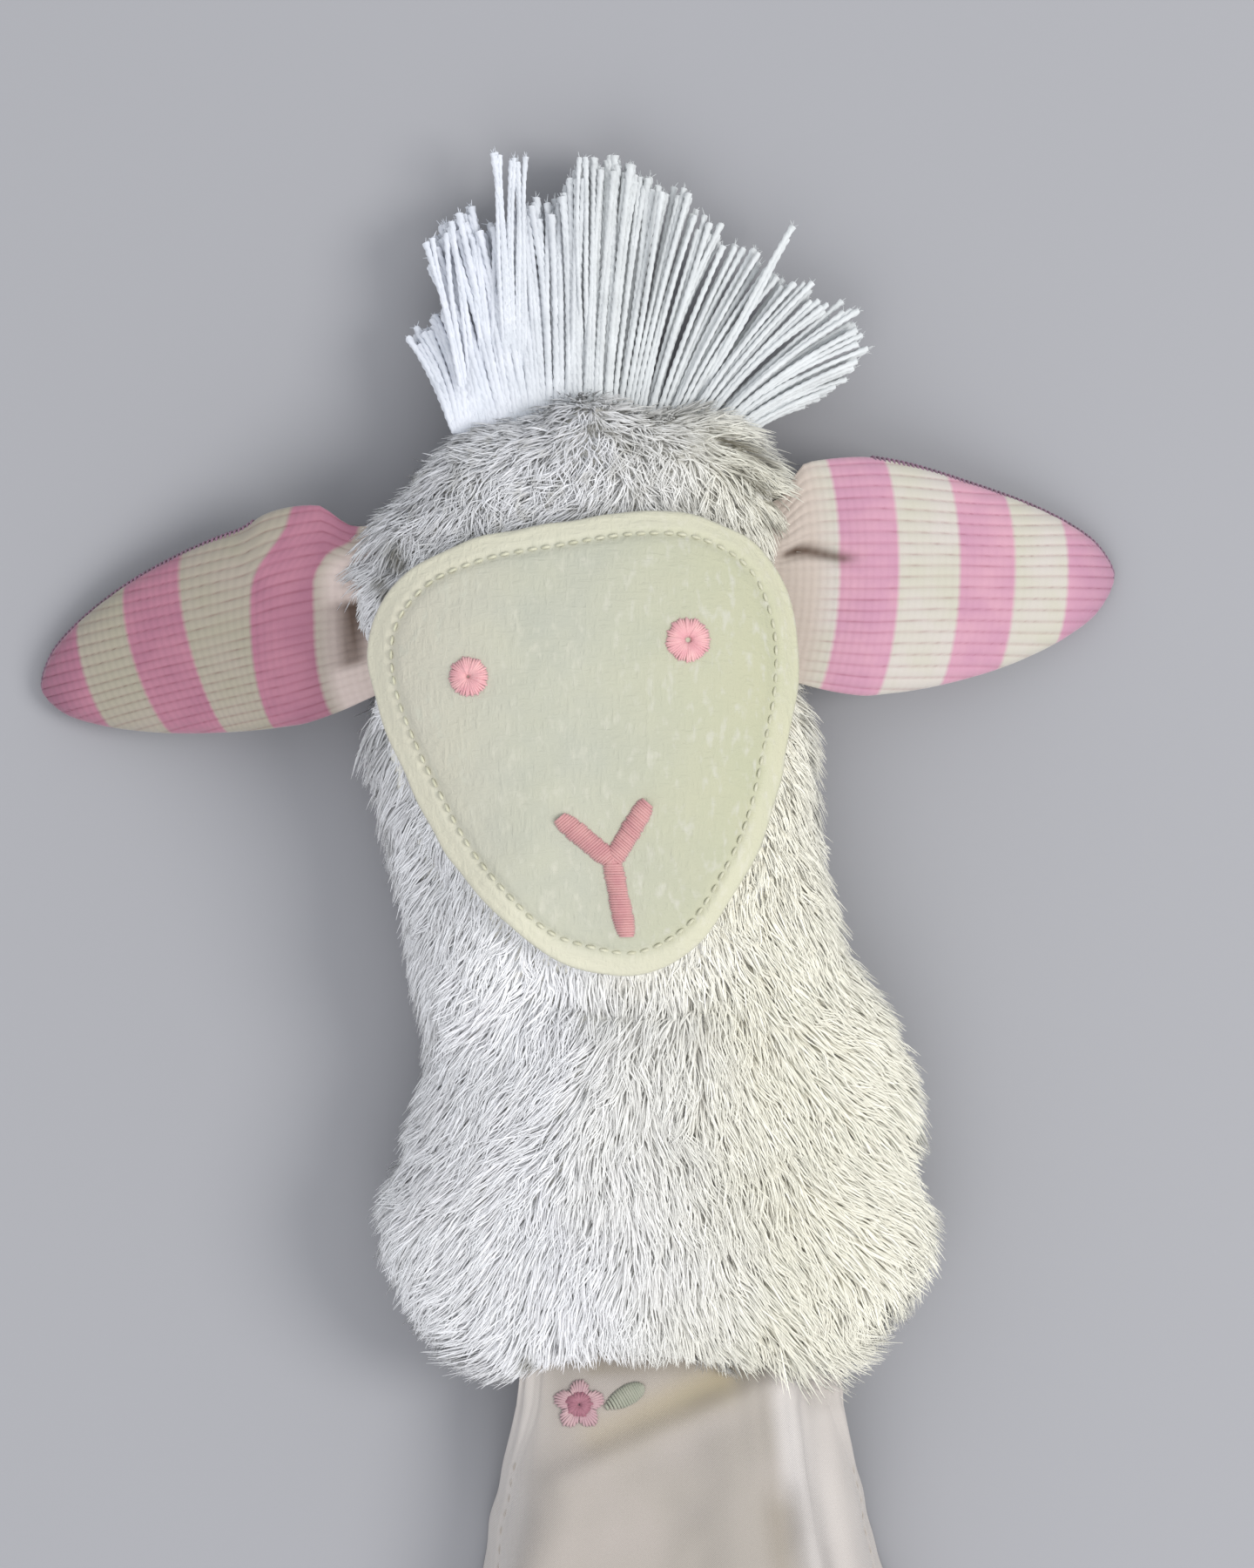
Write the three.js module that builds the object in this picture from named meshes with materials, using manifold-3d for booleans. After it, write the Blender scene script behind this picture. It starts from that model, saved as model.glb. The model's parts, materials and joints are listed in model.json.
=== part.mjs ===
// A plush lamb comforter lying on its back: stuffed head and torso, felt face, knit ears, yarn mane
// and a gathered cloth blanket. Millimetres and degrees, +Z up out of the face, +Y towards the crown.
// The origin is the middle of the flat that the torso lies on.

import * as THREE from "three";
import { mergeVertices } from "three/addons/utils/BufferGeometryUtils.js";
import Module from "manifold-3d";

const wasm = await Module();
wasm.setup();

// Shared sizes
const seatGap = 0.3;
const seamHeight = 16;
const restCut = 0.5;
const cutOverrun = 90;
const weldTolerance = 1e-4;
const fullness = 2.5;

// Torso
const torsoHalfWidth = 46.5;
const torsoHemHalfWidth = 30.5;
const torsoNeckLine = 22.5;
const torsoHemLine = 33.5;
const torsoFrontRise = 18;
const plushThickness = 5;
const shoulderShares = [
  [0.09, 0.8],
  [0.45, 0.4],
  [0.81, 0],
];
const flankShares = [
  [1, 0.27],
  [0.97, 0.56],
  [0.62, 0.83],
  [0, 0.97],
];
const hemShares = [0.85, 0.4, 0];

// Neck
const neckCentreX = -2.3;
const neckHalfWidth = 34.5;
const neckOverrun = 4;
const neckRollRadius = 5;
const neckRollHalfLength = 29;
const neckFrontOpening = 36;
const neckBackOpening = 24;
const neckEdgeShares = [
  [0, 1],
  [0.52, 1],
  [0.92, 0.4],
];

// Head
const headTilt = 9.5;
const headNeckDrop = 54.5;
const headHalfWidth = 38.3;
const headCrownRise = 47.3;
const headFrontRise = 24;
const crownShares = [
  [0, 1],
  [0.36, 0.97],
  [0.65, 0.86],
  [0.86, 0.66],
  [0.975, 0.38],
  [1, 0.08],
];
const cheekShares = [
  [0.9, 0.15],
  [0.6, 0.37],
  [0.18, 0.6],
  [0.09, 0.85],
];

// Felt face and its embroidery
const faceHalfWidth = 36;
const faceBrowRise = 30.2;
const faceChinDrop = 47.6;
const browShares = [
  [0, 1],
  [0.39, 0.99],
  [0.7, 0.89],
  [0.92, 0.65],
  [1, 0.3],
];
const chinShares = [
  [0.97, 0.06],
  [0.86, 0.3],
  [0.71, 0.545],
  [0.54, 0.72],
  [0.3, 0.9],
  [0, 1],
];
const feltThickness = 1.6;
const topstitchInset = 3;
const topstitchRadius = 0.45;
const eyeHalfSpacing = 17.9;
const eyeHeightOnFace = 6.9;
const eyeRadius = 3.3;
const embroideryRise = 1;
const embroideryEdgeShare = 0.5;
const noseArmReach = 7.2;
const noseArmHeight = -17.8;
const noseForkHeight = -26.2;
const noseFootHeight = -38.6;
const noseStrokeHalfWidth = 1.6;
const strokeEndShare = 0.45;
const strokeEndPower = 6;
const strokeSectionShares = [
  [-1, 0],
  [1, 0],
  [0.85, 0.7],
  [0, 1],
  [-0.85, 0.7],
];

// Ears
const earLength = 49;
const earHalfWidth = 18;
const earRootSetback = 3;
const earRise = 4.2;
const earKnitThickness = 1.1;
const earDroop = 17;
const rightEarHeight = 13.5;
const rightEarSweep = -9;
const leftEarHeight = 20;
const leftEarSweep = -2;
const earHalfShares = [
  [0.5, 0],
  [0.45, 0.28],
  [0.35, 0.49],
  [0.17, 0.72],
  [-0.03, 0.88],
  [-0.25, 0.98],
  [-0.42, 0.98],
  [-0.49, 0.8],
  [-0.5, 0.4],
  [-0.5, 0],
];

// Mane
const maneLength = 38.5;
const maneRootLeftAngle = 107;
const maneRootRightAngle = 52;
const maneLeanLeft = -12.5;
const maneLeanRight = 59;
const maneLeanPower = 1.4;
const maneBend = 24;
const maneDrop = 6.5;
const maneTapeWidth = 3;
const maneTapeThickness = 1;
const maneBarThickness = 1.4;
const maneBarSetback = 1.5;
const yarnRadius = 0.95;
const yarnRootRadius = 0.55;
const yarnsPerLayer = 28;
const frontYarnOffsetShare = 0.7;
const backYarnOffsetShare = 0.3;
const yarnUnevenShare = 0.05;
const yarnUnevenTurn = 2.4;
const maneLengthShares = [0.5, 0.82, 0.98, 1.1, 1.04, 1, 0.96, 0.9, 0.88, 0.88, 0.82];

// Blanket
const blanketLength = 187;
const headingRadius = 2.5;
const headingHalfLength = 24;
const headingCentreX = 3;
const waistHalfWidth = 26.5;
const hemHalfWidth = 104;
const hemCentreX = 8;
const clothThickness = 0.9;
const layerGap = 0.7;
const waistCrest = 3.2;
const bunchCrest = 21;
const hemCrest = 11;
const floorClearance = 0.35;
const landingLength = 24;
const bunchingLength = 18;
const bunchEndShare = 0.15;
const fanStartShare = 0.37;
const rowCrowding = 1.3;

// Flower embroidered on the blanket
const flowerRadius = 3.9;
const flowerX = -13;
const flowerDrop = 6.4;
const leafHalfLength = 3.6;
const leafHalfWidth = 1.5;
const motifRise = 0.8;
const petalCount = 5;
const petalDepthShare = 0.2;
const leafLean = 30;

// Facets
const pillowSides = 30;
const pillowRings = 6;
const earSides = 24;
const earRings = 4;
const faceSides = 36;
const faceRings = 6;
const stitchSteps = 56;
const threadSides = 4;
const padSides = 16;
const petalSides = 30;
const padRings = 2;
const strokeSteps = 6;
const yarnSides = 4;
const yarnSteps = 3;
const barSteps = 14;
const rollSides = 20;
const clothStepsAcross = 32;
const clothStepsAlong = 12;
const outlineSamples = 720;
const edgeSamples = 120;
const searchSteps = 30;
const probeShare = 1e-5;

const radians = THREE.MathUtils.degToRad;
const lerp = THREE.MathUtils.lerp;
const fullTurn = 2 * Math.PI;

// Materials, from the photograph
const cloth = (color, roughness) =>
  new THREE.MeshStandardMaterial({ color, roughness, metalness: 0 });
const plushWhite = cloth(0xdedcd6, 0.95);
const fillingWhite = cloth(0xf0efea, 1);
const feltCream = cloth(0xd6d6bd, 0.95);
const threadCream = cloth(0xe2dfc6, 0.7);
const embroideryPink = cloth(0xe08c93, 0.6);
const knitPink = cloth(0xdc96b4, 0.85);
const yarnWhite = cloth(0xeceef0, 0.85);
const tapeWhite = cloth(0xe6e4dc, 0.9);
const blanketIvory = cloth(0xe4ddd4, 0.7);
const flowerPink = cloth(0xc4657f, 0.65);
const leafGreen = cloth(0x7f9a76, 0.7);

// Collects points and triangles into one geometry.
class Facets {
  points = [];
  triangles = [];

  point(p) {
    this.points.push(p.x, p.y, p.z);
    return this.points.length / 3 - 1;
  }

  triangle(a, b, c) {
    this.triangles.push(a, b, c);
  }

  quad(a, b, c, d) {
    this.triangle(a, b, c);
    this.triangle(a, c, d);
  }

  // Joins two rings of as many points, the second lying to the left of the first's direction.
  band(first, second, closed = true) {
    const count = closed ? first.length : first.length - 1;
    for (let i = 0; i < count; i += 1) {
      const next = (i + 1) % first.length;
      this.quad(first[i], first[next], second[next], second[i]);
    }
  }

  // Closes a ring that runs anticlockwise about the way the fan faces.
  fan(ring, apex) {
    for (let i = 0; i < ring.length; i += 1) {
      this.triangle(ring[i], ring[(i + 1) % ring.length], apex);
    }
  }

  geometry() {
    const made = new THREE.BufferGeometry();
    made.setAttribute("position", new THREE.Float32BufferAttribute(this.points, 3));
    made.setIndex(this.triangles);
    made.computeVertexNormals();
    return made;
  }
}

// Booleans
function toSolid(geometry) {
  const bare = geometry.clone();
  bare.deleteAttribute("normal");
  bare.deleteAttribute("uv");
  const merged = mergeVertices(bare, weldTolerance);
  return new wasm.Manifold(
    new wasm.Mesh({
      numProp: 3,
      vertProperties: new Float32Array(merged.attributes.position.array),
      triVerts: new Uint32Array(merged.index.array),
    }),
  );
}

function toGeometry(solid) {
  const { vertProperties, triVerts } = solid.getMesh();
  const made = new THREE.BufferGeometry();
  made.setAttribute("position", new THREE.BufferAttribute(vertProperties, 3));
  made.setIndex(new THREE.BufferAttribute(triVerts, 1));
  made.computeVertexNormals();
  return made;
}

const joined = (geometries) =>
  toGeometry(geometries.map(toSolid).reduce((all, one) => all.add(one)));

// The other half of an outline that runs from one end of its middle line to the other.
const withMirror = (half, flipX, flipY) => [
  ...half,
  ...half.slice(1, -1).reverse().map(([x, y]) => [flipX * x, flipY * y]),
];

// A smooth closed outline through points, as its radius by angle about 0, 0.
function polarOutline(points) {
  const corners = points.map(([x, y]) => new THREE.Vector3(x, y, 0));
  const curve = new THREE.CatmullRomCurve3(corners, true, "centripetal");
  const samples = curve
    .getPoints(outlineSamples)
    .slice(0, -1)
    .map((p) => [(Math.atan2(p.y, p.x) + fullTurn) % fullTurn, Math.hypot(p.x, p.y)])
    .sort((a, b) => a[0] - b[0]);
  const last = samples.at(-1);
  const first = samples[0];
  const table = [[last[0] - fullTurn, last[1]], ...samples, [first[0] + fullTurn, first[1]]];
  return (angle) => {
    const at = ((angle % fullTurn) + fullTurn) % fullTurn;
    const after = table.findIndex(([a]) => a > at);
    const [a0, r0] = table[after - 1];
    const [a1, r1] = table[after];
    return lerp(r0, r1, (at - a0) / (a1 - a0));
  };
}

// A stuffed form: an outline in the seam plane, swelling to frontRise and backRise.
// inset moves the skin inwards, or outwards where it is negative.
class Pillow {
  constructor({ outline, frontRise, backRise, lowest = -Infinity }) {
    Object.assign(this, { outline, frontRise, backRise, lowest });
  }

  // dip runs from 0 at the middle to a quarter turn at the seam.
  at(angle, dip, side, inset) {
    const reach = (this.outline(angle) - inset) * Math.sin(dip) ** (2 / fullness);
    const rise = (side > 0 ? this.frontRise : this.backRise) - inset;
    const z = Math.max(side * rise * Math.cos(dip), this.lowest + inset);
    return new THREE.Vector3(reach * Math.cos(angle), reach * Math.sin(angle), z);
  }

  dipFor(angle, reach, inset) {
    const share = Math.min(reach / (this.outline(angle) - inset), 1);
    return Math.asin(share ** (fullness / 2));
  }

  // The point of the front skin above x, y.
  above(x, y, inset) {
    const angle = Math.atan2(y, x);
    return this.at(angle, this.dipFor(angle, Math.hypot(x, y), inset), 1, inset);
  }

  geometry(inset, sides, rings) {
    const facets = new Facets();
    const ring = (dip, side) =>
      Array.from({ length: sides }, (_, i) =>
        facets.point(this.at((fullTurn * i) / sides, dip, side, inset)),
      );
    const dips = Array.from({ length: rings }, (_, i) => (Math.PI / 2) * ((i + 1) / rings));
    const seam = ring(dips.at(-1), 1);
    for (const side of [1, -1]) {
      const pole = facets.point(this.at(0, 0, side, inset));
      const skin = [...dips.slice(0, -1).map((dip) => ring(dip, side)), seam];
      if (side > 0) facets.fan(skin[0], pole);
      else facets.fan([...skin[0]].reverse(), pole);
      skin.slice(1).forEach((outer, i) => {
        if (side > 0) facets.band(outer, skin[i]);
        else facets.band(skin[i], outer);
      });
    }
    return facets.geometry();
  }
}

// A closed domed pad on a surface, seatGap above it: place(x, y, height) gives its points.
function pad(place, radiusAt, rise, sides = padSides) {
  const facets = new Facets();
  const ring = (share, height) =>
    Array.from({ length: sides }, (_, i) => {
      const angle = (fullTurn * i) / sides;
      const r = radiusAt(angle) * share;
      return facets.point(place(r * Math.cos(angle), r * Math.sin(angle), height));
    });
  const shares = Array.from({ length: padRings }, (_, i) => (i + 1) / padRings);
  const fall = 1 - embroideryEdgeShare ** 2;
  const domed = (share) => seatGap + rise * Math.sqrt(1 - fall * share ** 2);
  const tops = shares.map((share) => ring(share, domed(share)));
  const bottoms = shares.map((share) => ring(share, seatGap));
  facets.fan(tops[0], facets.point(place(0, 0, domed(0))));
  facets.fan([...bottoms[0]].reverse(), facets.point(place(0, 0, seatGap)));
  for (let i = 1; i < padRings; i += 1) {
    facets.band(tops[i], tops[i - 1]);
    facets.band(bottoms[i - 1], bottoms[i]);
  }
  facets.band(bottoms.at(-1), tops.at(-1));
  return facets.geometry();
}

// A crowned stroke of embroidery from one point to another, seatGap above a surface.
function stroke(place, from, to) {
  const facets = new Facets();
  const along = new THREE.Vector2(...to).sub(new THREE.Vector2(...from)).normalize();
  const narrowing = 1 - strokeEndShare ** 2;
  const sections = Array.from({ length: strokeSteps }, (_, i) => {
    const share = i / (strokeSteps - 1);
    const round = Math.sqrt(1 - narrowing * Math.abs(2 * share - 1) ** strokeEndPower);
    const x = lerp(from[0], to[0], share);
    const y = lerp(from[1], to[1], share);
    return strokeSectionShares.map(([across, up]) => {
      const shift = across * noseStrokeHalfWidth * round;
      const height = seatGap + up * embroideryRise;
      return facets.point(place(x + along.y * shift, y - along.x * shift, height));
    });
  });
  sections.slice(1).forEach((next, i) => facets.band(next, sections[i]));
  const [start, end] = [sections[0], sections.at(-1)];
  for (let i = 1; i < strokeSectionShares.length - 1; i += 1) {
    facets.triangle(start[0], start[i], start[i + 1]);
    facets.triangle(end[0], end[i + 1], end[i]);
  }
  return facets.geometry();
}

// A rod through points, with a radius at each.
function rod(points, radii, sides, closed) {
  const facets = new Facets();
  const up = new THREE.Vector3(0, 0, 1);
  const last = points.length - 1;
  const rings = points.map((p, i) => {
    const before = closed ? points[(i + last) % points.length] : points[Math.max(i - 1, 0)];
    const after = closed ? points[(i + 1) % points.length] : points[Math.min(i + 1, last)];
    const along = after.clone().sub(before).normalize();
    const across = along.clone().cross(up).normalize();
    const rise = across.clone().cross(along);
    return Array.from({ length: sides }, (_, k) => {
      const angle = (fullTurn * (k + 0.5)) / sides;
      const out = across.clone().multiplyScalar(Math.cos(angle) * radii[i]);
      out.addScaledVector(rise, Math.sin(angle) * radii[i]);
      return facets.point(out.add(p));
    });
  });
  rings.slice(1).forEach((next, i) => facets.band(next, rings[i]));
  if (closed) {
    facets.band(rings[0], rings.at(-1));
  } else {
    for (let k = 1; k < sides - 1; k += 1) {
      facets.triangle(rings[0][0], rings[0][k], rings[0][k + 1]);
      facets.triangle(rings[last][0], rings[last][k + 1], rings[last][k]);
    }
  }
  return facets.geometry();
}

// A named mesh with a material of its own.
function piece(name, geometry, material) {
  const mesh = new THREE.Mesh(geometry, material.clone());
  mesh.name = name;
  return mesh;
}

// A roll of cloth along X.
const roll = (radius, halfLength) =>
  new THREE.CylinderGeometry(radius, radius, 2 * halfLength, rollSides).rotateZ(Math.PI / 2);

// All that lies above the seam plane, or below it where side is -1.
function halfSpace(side) {
  const size = 2 * cutOverrun;
  const block = new THREE.BoxGeometry(size, size, size);
  return toSolid(block.translate(0, 0, side * (size / 2 + seatGap / 2)));
}

// What the neck takes off a stuffed form: a roll's groove in the mouth of a V, along X.
// side is 1 for the head, above the roll, and -1 for the torso, below it.
function neckCutter(side, inset) {
  const r = neckRollRadius + seatGap + inset;
  const lean = Math.asin(inset / r);
  const front = Math.PI / 2 - radians(neckFrontOpening / 2);
  const back = Math.PI / 2 - radians(neckBackOpening / 2);
  const far = (angle, from) => [
    r * Math.cos(from) + cutOverrun * Math.cos(angle),
    r * Math.sin(from) + cutOverrun * Math.sin(angle),
  ];
  const shape = new THREE.Shape();
  const frontFar = far(front, front - lean);
  const backFar = far(-back, lean - back);
  shape.moveTo(...frontFar);
  shape.lineTo(r * Math.cos(front - lean), r * Math.sin(front - lean));
  shape.absarc(0, 0, r, front - lean, lean - back, true);
  shape.lineTo(...backFar);
  shape.lineTo(-cutOverrun, backFar[1]);
  shape.lineTo(-cutOverrun, frontFar[1]);
  shape.closePath();
  const block = new THREE.ExtrudeGeometry(shape, {
    depth: 2 * cutOverrun,
    bevelEnabled: false,
    curveSegments: rollSides / 2,
  });
  block.translate(0, 0, -cutOverrun);
  const toYZ = new THREE.Matrix4().makeBasis(
    new THREE.Vector3(0, 1, 0),
    new THREE.Vector3(0, 0, 1),
    new THREE.Vector3(1, 0, 0),
  );
  block.applyMatrix4(toYZ);
  return side > 0 ? block : block.rotateZ(Math.PI);
}

// The front and back plush and the filling of one stuffed sack. cutFor gives what is taken off it
// at an inset, in the sack's own frame.
function sack(pillow, name, cutFor) {
  const form = (inset) =>
    toSolid(pillow.geometry(inset, pillowSides, pillowRings)).subtract(toSolid(cutFor(inset)));
  const skin = form(0).subtract(form(plushThickness));
  const filling = form(plushThickness + seatGap);
  return [
    piece(`${name}_front_plush`, toGeometry(skin.intersect(halfSpace(1))), plushWhite),
    piece(`${name}_back_plush`, toGeometry(skin.intersect(halfSpace(-1))), plushWhite),
    piece(`${name}_filling`, toGeometry(filling), fillingWhite),
  ];
}

// Torso
const neckEdge = neckEdgeShares.map(([x, y]) => [x * neckHalfWidth, y * neckOverrun]);
const torsoOutline = polarOutline(withMirror([
  ...neckEdge.map(([x, y]) => [x, torsoNeckLine + y]),
  ...shoulderShares.map(([wide, y]) => [
    lerp(neckHalfWidth, torsoHalfWidth, wide),
    y * torsoNeckLine,
  ]),
  ...flankShares.map(([wide, y]) => [
    lerp(torsoHemHalfWidth, torsoHalfWidth, wide),
    -y * torsoHemLine,
  ]),
  ...hemShares.map((x) => [x * torsoHemHalfWidth, -torsoHemLine]),
], -1, 1));

const torsoPillow = new Pillow({
  outline: torsoOutline,
  frontRise: torsoFrontRise,
  backRise: seamHeight + restCut,
  lowest: -seamHeight,
});

function makeTorso() {
  const torso = new THREE.Group();
  torso.position.z = seamHeight;
  const cutFor = (inset) => neckCutter(-1, inset).translate(0, torsoNeckLine, 0);
  torso.add(...sack(torsoPillow, "torso", cutFor));
  const neck = piece("neck_plush", roll(neckRollRadius, neckRollHalfLength), plushWhite);
  neck.position.set(neckCentreX, torsoNeckLine, 0);
  torso.add(neck);
  return torso;
}

// Head, in a frame with 0, 0 at the middle of the head
const headOutline = polarOutline(withMirror([
  ...crownShares.map(([x, y]) => [x * headHalfWidth, y * headCrownRise]),
  ...cheekShares.map(([wide, y]) => [lerp(neckHalfWidth, headHalfWidth, wide), -y * headNeckDrop]),
  ...[...neckEdge].reverse().map(([x, y]) => [x, -(headNeckDrop + y)]),
], -1, 1));

const headPillow = new Pillow({
  outline: headOutline,
  frontRise: headFrontRise,
  backRise: seamHeight + restCut,
  lowest: -seamHeight,
});

// Felt face
const faceOutline = polarOutline(withMirror([
  ...browShares.map(([x, y]) => [x * faceHalfWidth, y * faceBrowRise]),
  ...chinShares.map(([x, y]) => [x * faceHalfWidth, -y * faceChinDrop]),
], -1, 1));

const feltUnderside = -seatGap;
const feltTop = -(seatGap + feltThickness);
const onFelt = (x, y, rise) => headPillow.above(x, y, feltTop - rise);

function facePanelGeometry() {
  const facets = new Facets();
  const layer = (inset, turn) => {
    const rings = Array.from({ length: faceRings }, (_, j) =>
      Array.from({ length: faceSides }, (__, i) => {
        const angle = (fullTurn * i) / faceSides;
        const edge = headPillow.dipFor(angle, faceOutline(angle), inset);
        return facets.point(headPillow.at(angle, (edge * (j + 1)) / faceRings, 1, inset));
      }),
    );
    const pole = facets.point(headPillow.at(0, 0, 1, inset));
    facets.fan(turn ? [...rings[0]].reverse() : rings[0], pole);
    rings.slice(1).forEach((outer, j) => {
      if (turn) facets.band(rings[j], outer);
      else facets.band(outer, rings[j]);
    });
    return rings.at(-1);
  };
  const top = layer(feltTop, false);
  const bottom = layer(feltUnderside, true);
  facets.band(bottom, top);
  return facets.geometry();
}

function topstitchGeometry() {
  const points = Array.from({ length: stitchSteps }, (_, i) => {
    const angle = (fullTurn * i) / stitchSteps;
    const reach = faceOutline(angle) - topstitchInset;
    return onFelt(reach * Math.cos(angle), reach * Math.sin(angle), seatGap + topstitchRadius);
  });
  return rod(points, points.map(() => topstitchRadius), threadSides, true);
}

function makeFace() {
  const eye = (side) => {
    const place = (x, y, rise) => onFelt(side * eyeHalfSpacing + x, eyeHeightOnFace + y, rise);
    return pad(place, () => eyeRadius, embroideryRise);
  };
  const fork = [0, noseForkHeight];
  const arms = [-noseArmReach, noseArmReach].map((x) => [x, noseArmHeight]);
  const strokes = [...arms, [0, noseFootHeight]].map((end) =>
    stroke(onFelt, end, fork),
  );
  const knot = pad(
    (x, y, rise) => onFelt(x, noseForkHeight + y, rise),
    () => noseStrokeHalfWidth,
    embroideryRise,
  );
  return [
    piece("face_panel", facePanelGeometry(), feltCream),
    piece("face_topstitch", topstitchGeometry(), threadCream),
    piece("eye_left", eye(-1), embroideryPink),
    piece("eye_right", eye(1), embroideryPink),
    piece("nose_mouth", joined([...strokes, knot]), embroideryPink),
  ];
}

// Ears: a leaf with its root edge on the head's side seam
const earReach = earLength + earRootSetback;
const leafMiddle = earReach / 2 - earRootSetback;
const earHalfOutline = earHalfShares.map(([x, y]) => [x * earReach, y * earHalfWidth]);
const earPillow = new Pillow({
  outline: polarOutline(withMirror(earHalfOutline, 1, -1)),
  frontRise: earRise,
  backRise: earRise,
});

// How far out of the head's middle line an ear's line lies, so that its root just clears the side.
function sideReach(height, heading) {
  const middle = new THREE.Vector2();
  const edge = Array.from({ length: edgeSamples }, (_, i) => {
    const angle = (fullTurn * i) / edgeSamples;
    const r = earPillow.outline(angle);
    const out = (r * Math.cos(angle) + leafMiddle) * Math.cos(radians(earDroop));
    return new THREE.Vector2(out, r * Math.sin(angle)).rotateAround(middle, heading);
  });
  const side = Math.sign(Math.cos(heading));
  const clears = (reach) =>
    edge.every((p) => {
      const at = new THREE.Vector2(p.x + side * reach, p.y + height);
      return at.length() - headOutline(at.angle()) > seatGap;
    });
  let [near, far] = [0, 2 * headHalfWidth];
  for (let i = 0; i < searchSteps; i += 1) {
    const reach = (near + far) / 2;
    if (clears(reach)) far = reach;
    else near = reach;
  }
  return side * far;
}

// The group's origin is on the line that the ear flops about, with x out of the root.
function makeEar(name, height, heading) {
  const outer = toSolid(earPillow.geometry(0, earSides, earRings));
  const hollow = toSolid(earPillow.geometry(earKnitThickness, earSides, earRings));
  const knit = outer.subtract(hollow);
  const filling = earPillow.geometry(earKnitThickness + seatGap, earSides, earRings);
  const leaf = new THREE.Group();
  leaf.position.x = leafMiddle;
  leaf.add(
    piece(`${name}_front_knit`, toGeometry(knit.intersect(halfSpace(1))), knitPink),
    piece(`${name}_back_knit`, toGeometry(knit.intersect(halfSpace(-1))), knitPink),
    piece(`${name}_filling`, filling, fillingWhite),
  );
  const drooped = new THREE.Group();
  drooped.rotation.y = radians(earDroop);
  drooped.add(leaf);
  const ear = new THREE.Group();
  ear.position.set(sideReach(height, heading), height, 0);
  ear.rotation.z = heading;
  ear.add(drooped);
  return ear;
}

// Mane: a tape along the crown seam with yarns sewn over and under it
function crownStrip(low, high, setback) {
  const facets = new Facets();
  const sections = Array.from({ length: barSteps + 1 }, (_, i) => {
    const angle = radians(lerp(maneRootRightAngle, maneRootLeftAngle, i / barSteps));
    const seam = headOutline(angle) + seatGap;
    const [near, far] = [seam + setback, seam + maneTapeWidth];
    return [[near, low], [near, high], [far, high], [far, low]].map(([r, z]) =>
      facets.point(new THREE.Vector3(r * Math.cos(angle), r * Math.sin(angle), z)),
    );
  });
  sections.slice(1).forEach((next, i) => facets.band(sections[i], next));
  const [start, end] = [sections[0], sections.at(-1)];
  facets.quad(start[3], start[2], start[1], start[0]);
  facets.quad(end[0], end[1], end[2], end[3]);
  return facets.geometry();
}

// share runs from the mane's left end to its right.
function yarn(share, level, uneven) {
  const steps = maneLengthShares.length - 1;
  const at = Math.min(Math.floor(share * steps), steps - 1);
  const long = lerp(maneLengthShares[at], maneLengthShares[at + 1], share * steps - at);
  const length = maneLength * long * (1 + yarnUnevenShare * uneven);
  const rootAngle = radians(lerp(maneRootLeftAngle, maneRootRightAngle, share));
  const rootReach = headOutline(rootAngle) + seatGap + (maneBarSetback + maneTapeWidth) / 2;
  const lean = lerp(maneLeanLeft, maneLeanRight, share ** maneLeanPower);
  const step = length / yarnSteps;
  const head = new THREE.Vector3(Math.cos(rootAngle), Math.sin(rootAngle), 0);
  const points = [head.multiplyScalar(rootReach).setZ(level)];
  for (let i = 1; i <= yarnSteps; i += 1) {
    const along = i / yarnSteps;
    const heading = radians(lean + maneBend * share * (along - 0.5));
    const next = points[i - 1].clone();
    next.x += step * Math.sin(heading);
    next.y += step * Math.cos(heading);
    next.z = level - maneDrop * along ** 2;
    points.push(next);
  }
  const radii = points.map((_, i) => (i ? yarnRadius : yarnRootRadius));
  return rod(points, radii, yarnSides, false);
}

function yarnLayer(side) {
  const low = maneTapeThickness / 2 + seatGap;
  const high = low + maneBarThickness;
  const [under, over] = side > 0 ? [low, high] : [-high, -low];
  const bar = crownStrip(under, over, maneBarSetback);
  const level = (side * (low + high)) / 2;
  const offset = side > 0 ? frontYarnOffsetShare : backYarnOffsetShare;
  const yarns = Array.from({ length: yarnsPerLayer }, (_, i) =>
    yarn((i + offset) / yarnsPerLayer, level, Math.sin(i * yarnUnevenTurn + side)),
  );
  return joined([bar, ...yarns]);
}

const halfTape = maneTapeThickness / 2;
const makeMane = () => [
  piece("mane_tape", crownStrip(-halfTape, halfTape, 0), tapeWhite),
  piece("mane_yarn_front", yarnLayer(1), yarnWhite),
  piece("mane_yarn_back", yarnLayer(-1), yarnWhite),
];

function makeHead() {
  const middle = new THREE.Group();
  middle.position.y = headNeckDrop;
  const cutFor = (inset) =>
    neckCutter(1, inset).rotateZ(radians(-headTilt)).translate(0, -headNeckDrop, 0);
  middle.add(...sack(headPillow, "head", cutFor), ...makeFace(), ...makeMane());
  middle.add(makeEar("ear_right", rightEarHeight, radians(rightEarSweep)));
  middle.add(makeEar("ear_left", leftEarHeight, Math.PI - radians(leftEarSweep)));
  const head = new THREE.Group();
  head.position.set(neckCentreX, torsoNeckLine, seamHeight);
  head.rotation.z = radians(headTilt);
  head.add(middle);
  return head;
}

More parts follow.
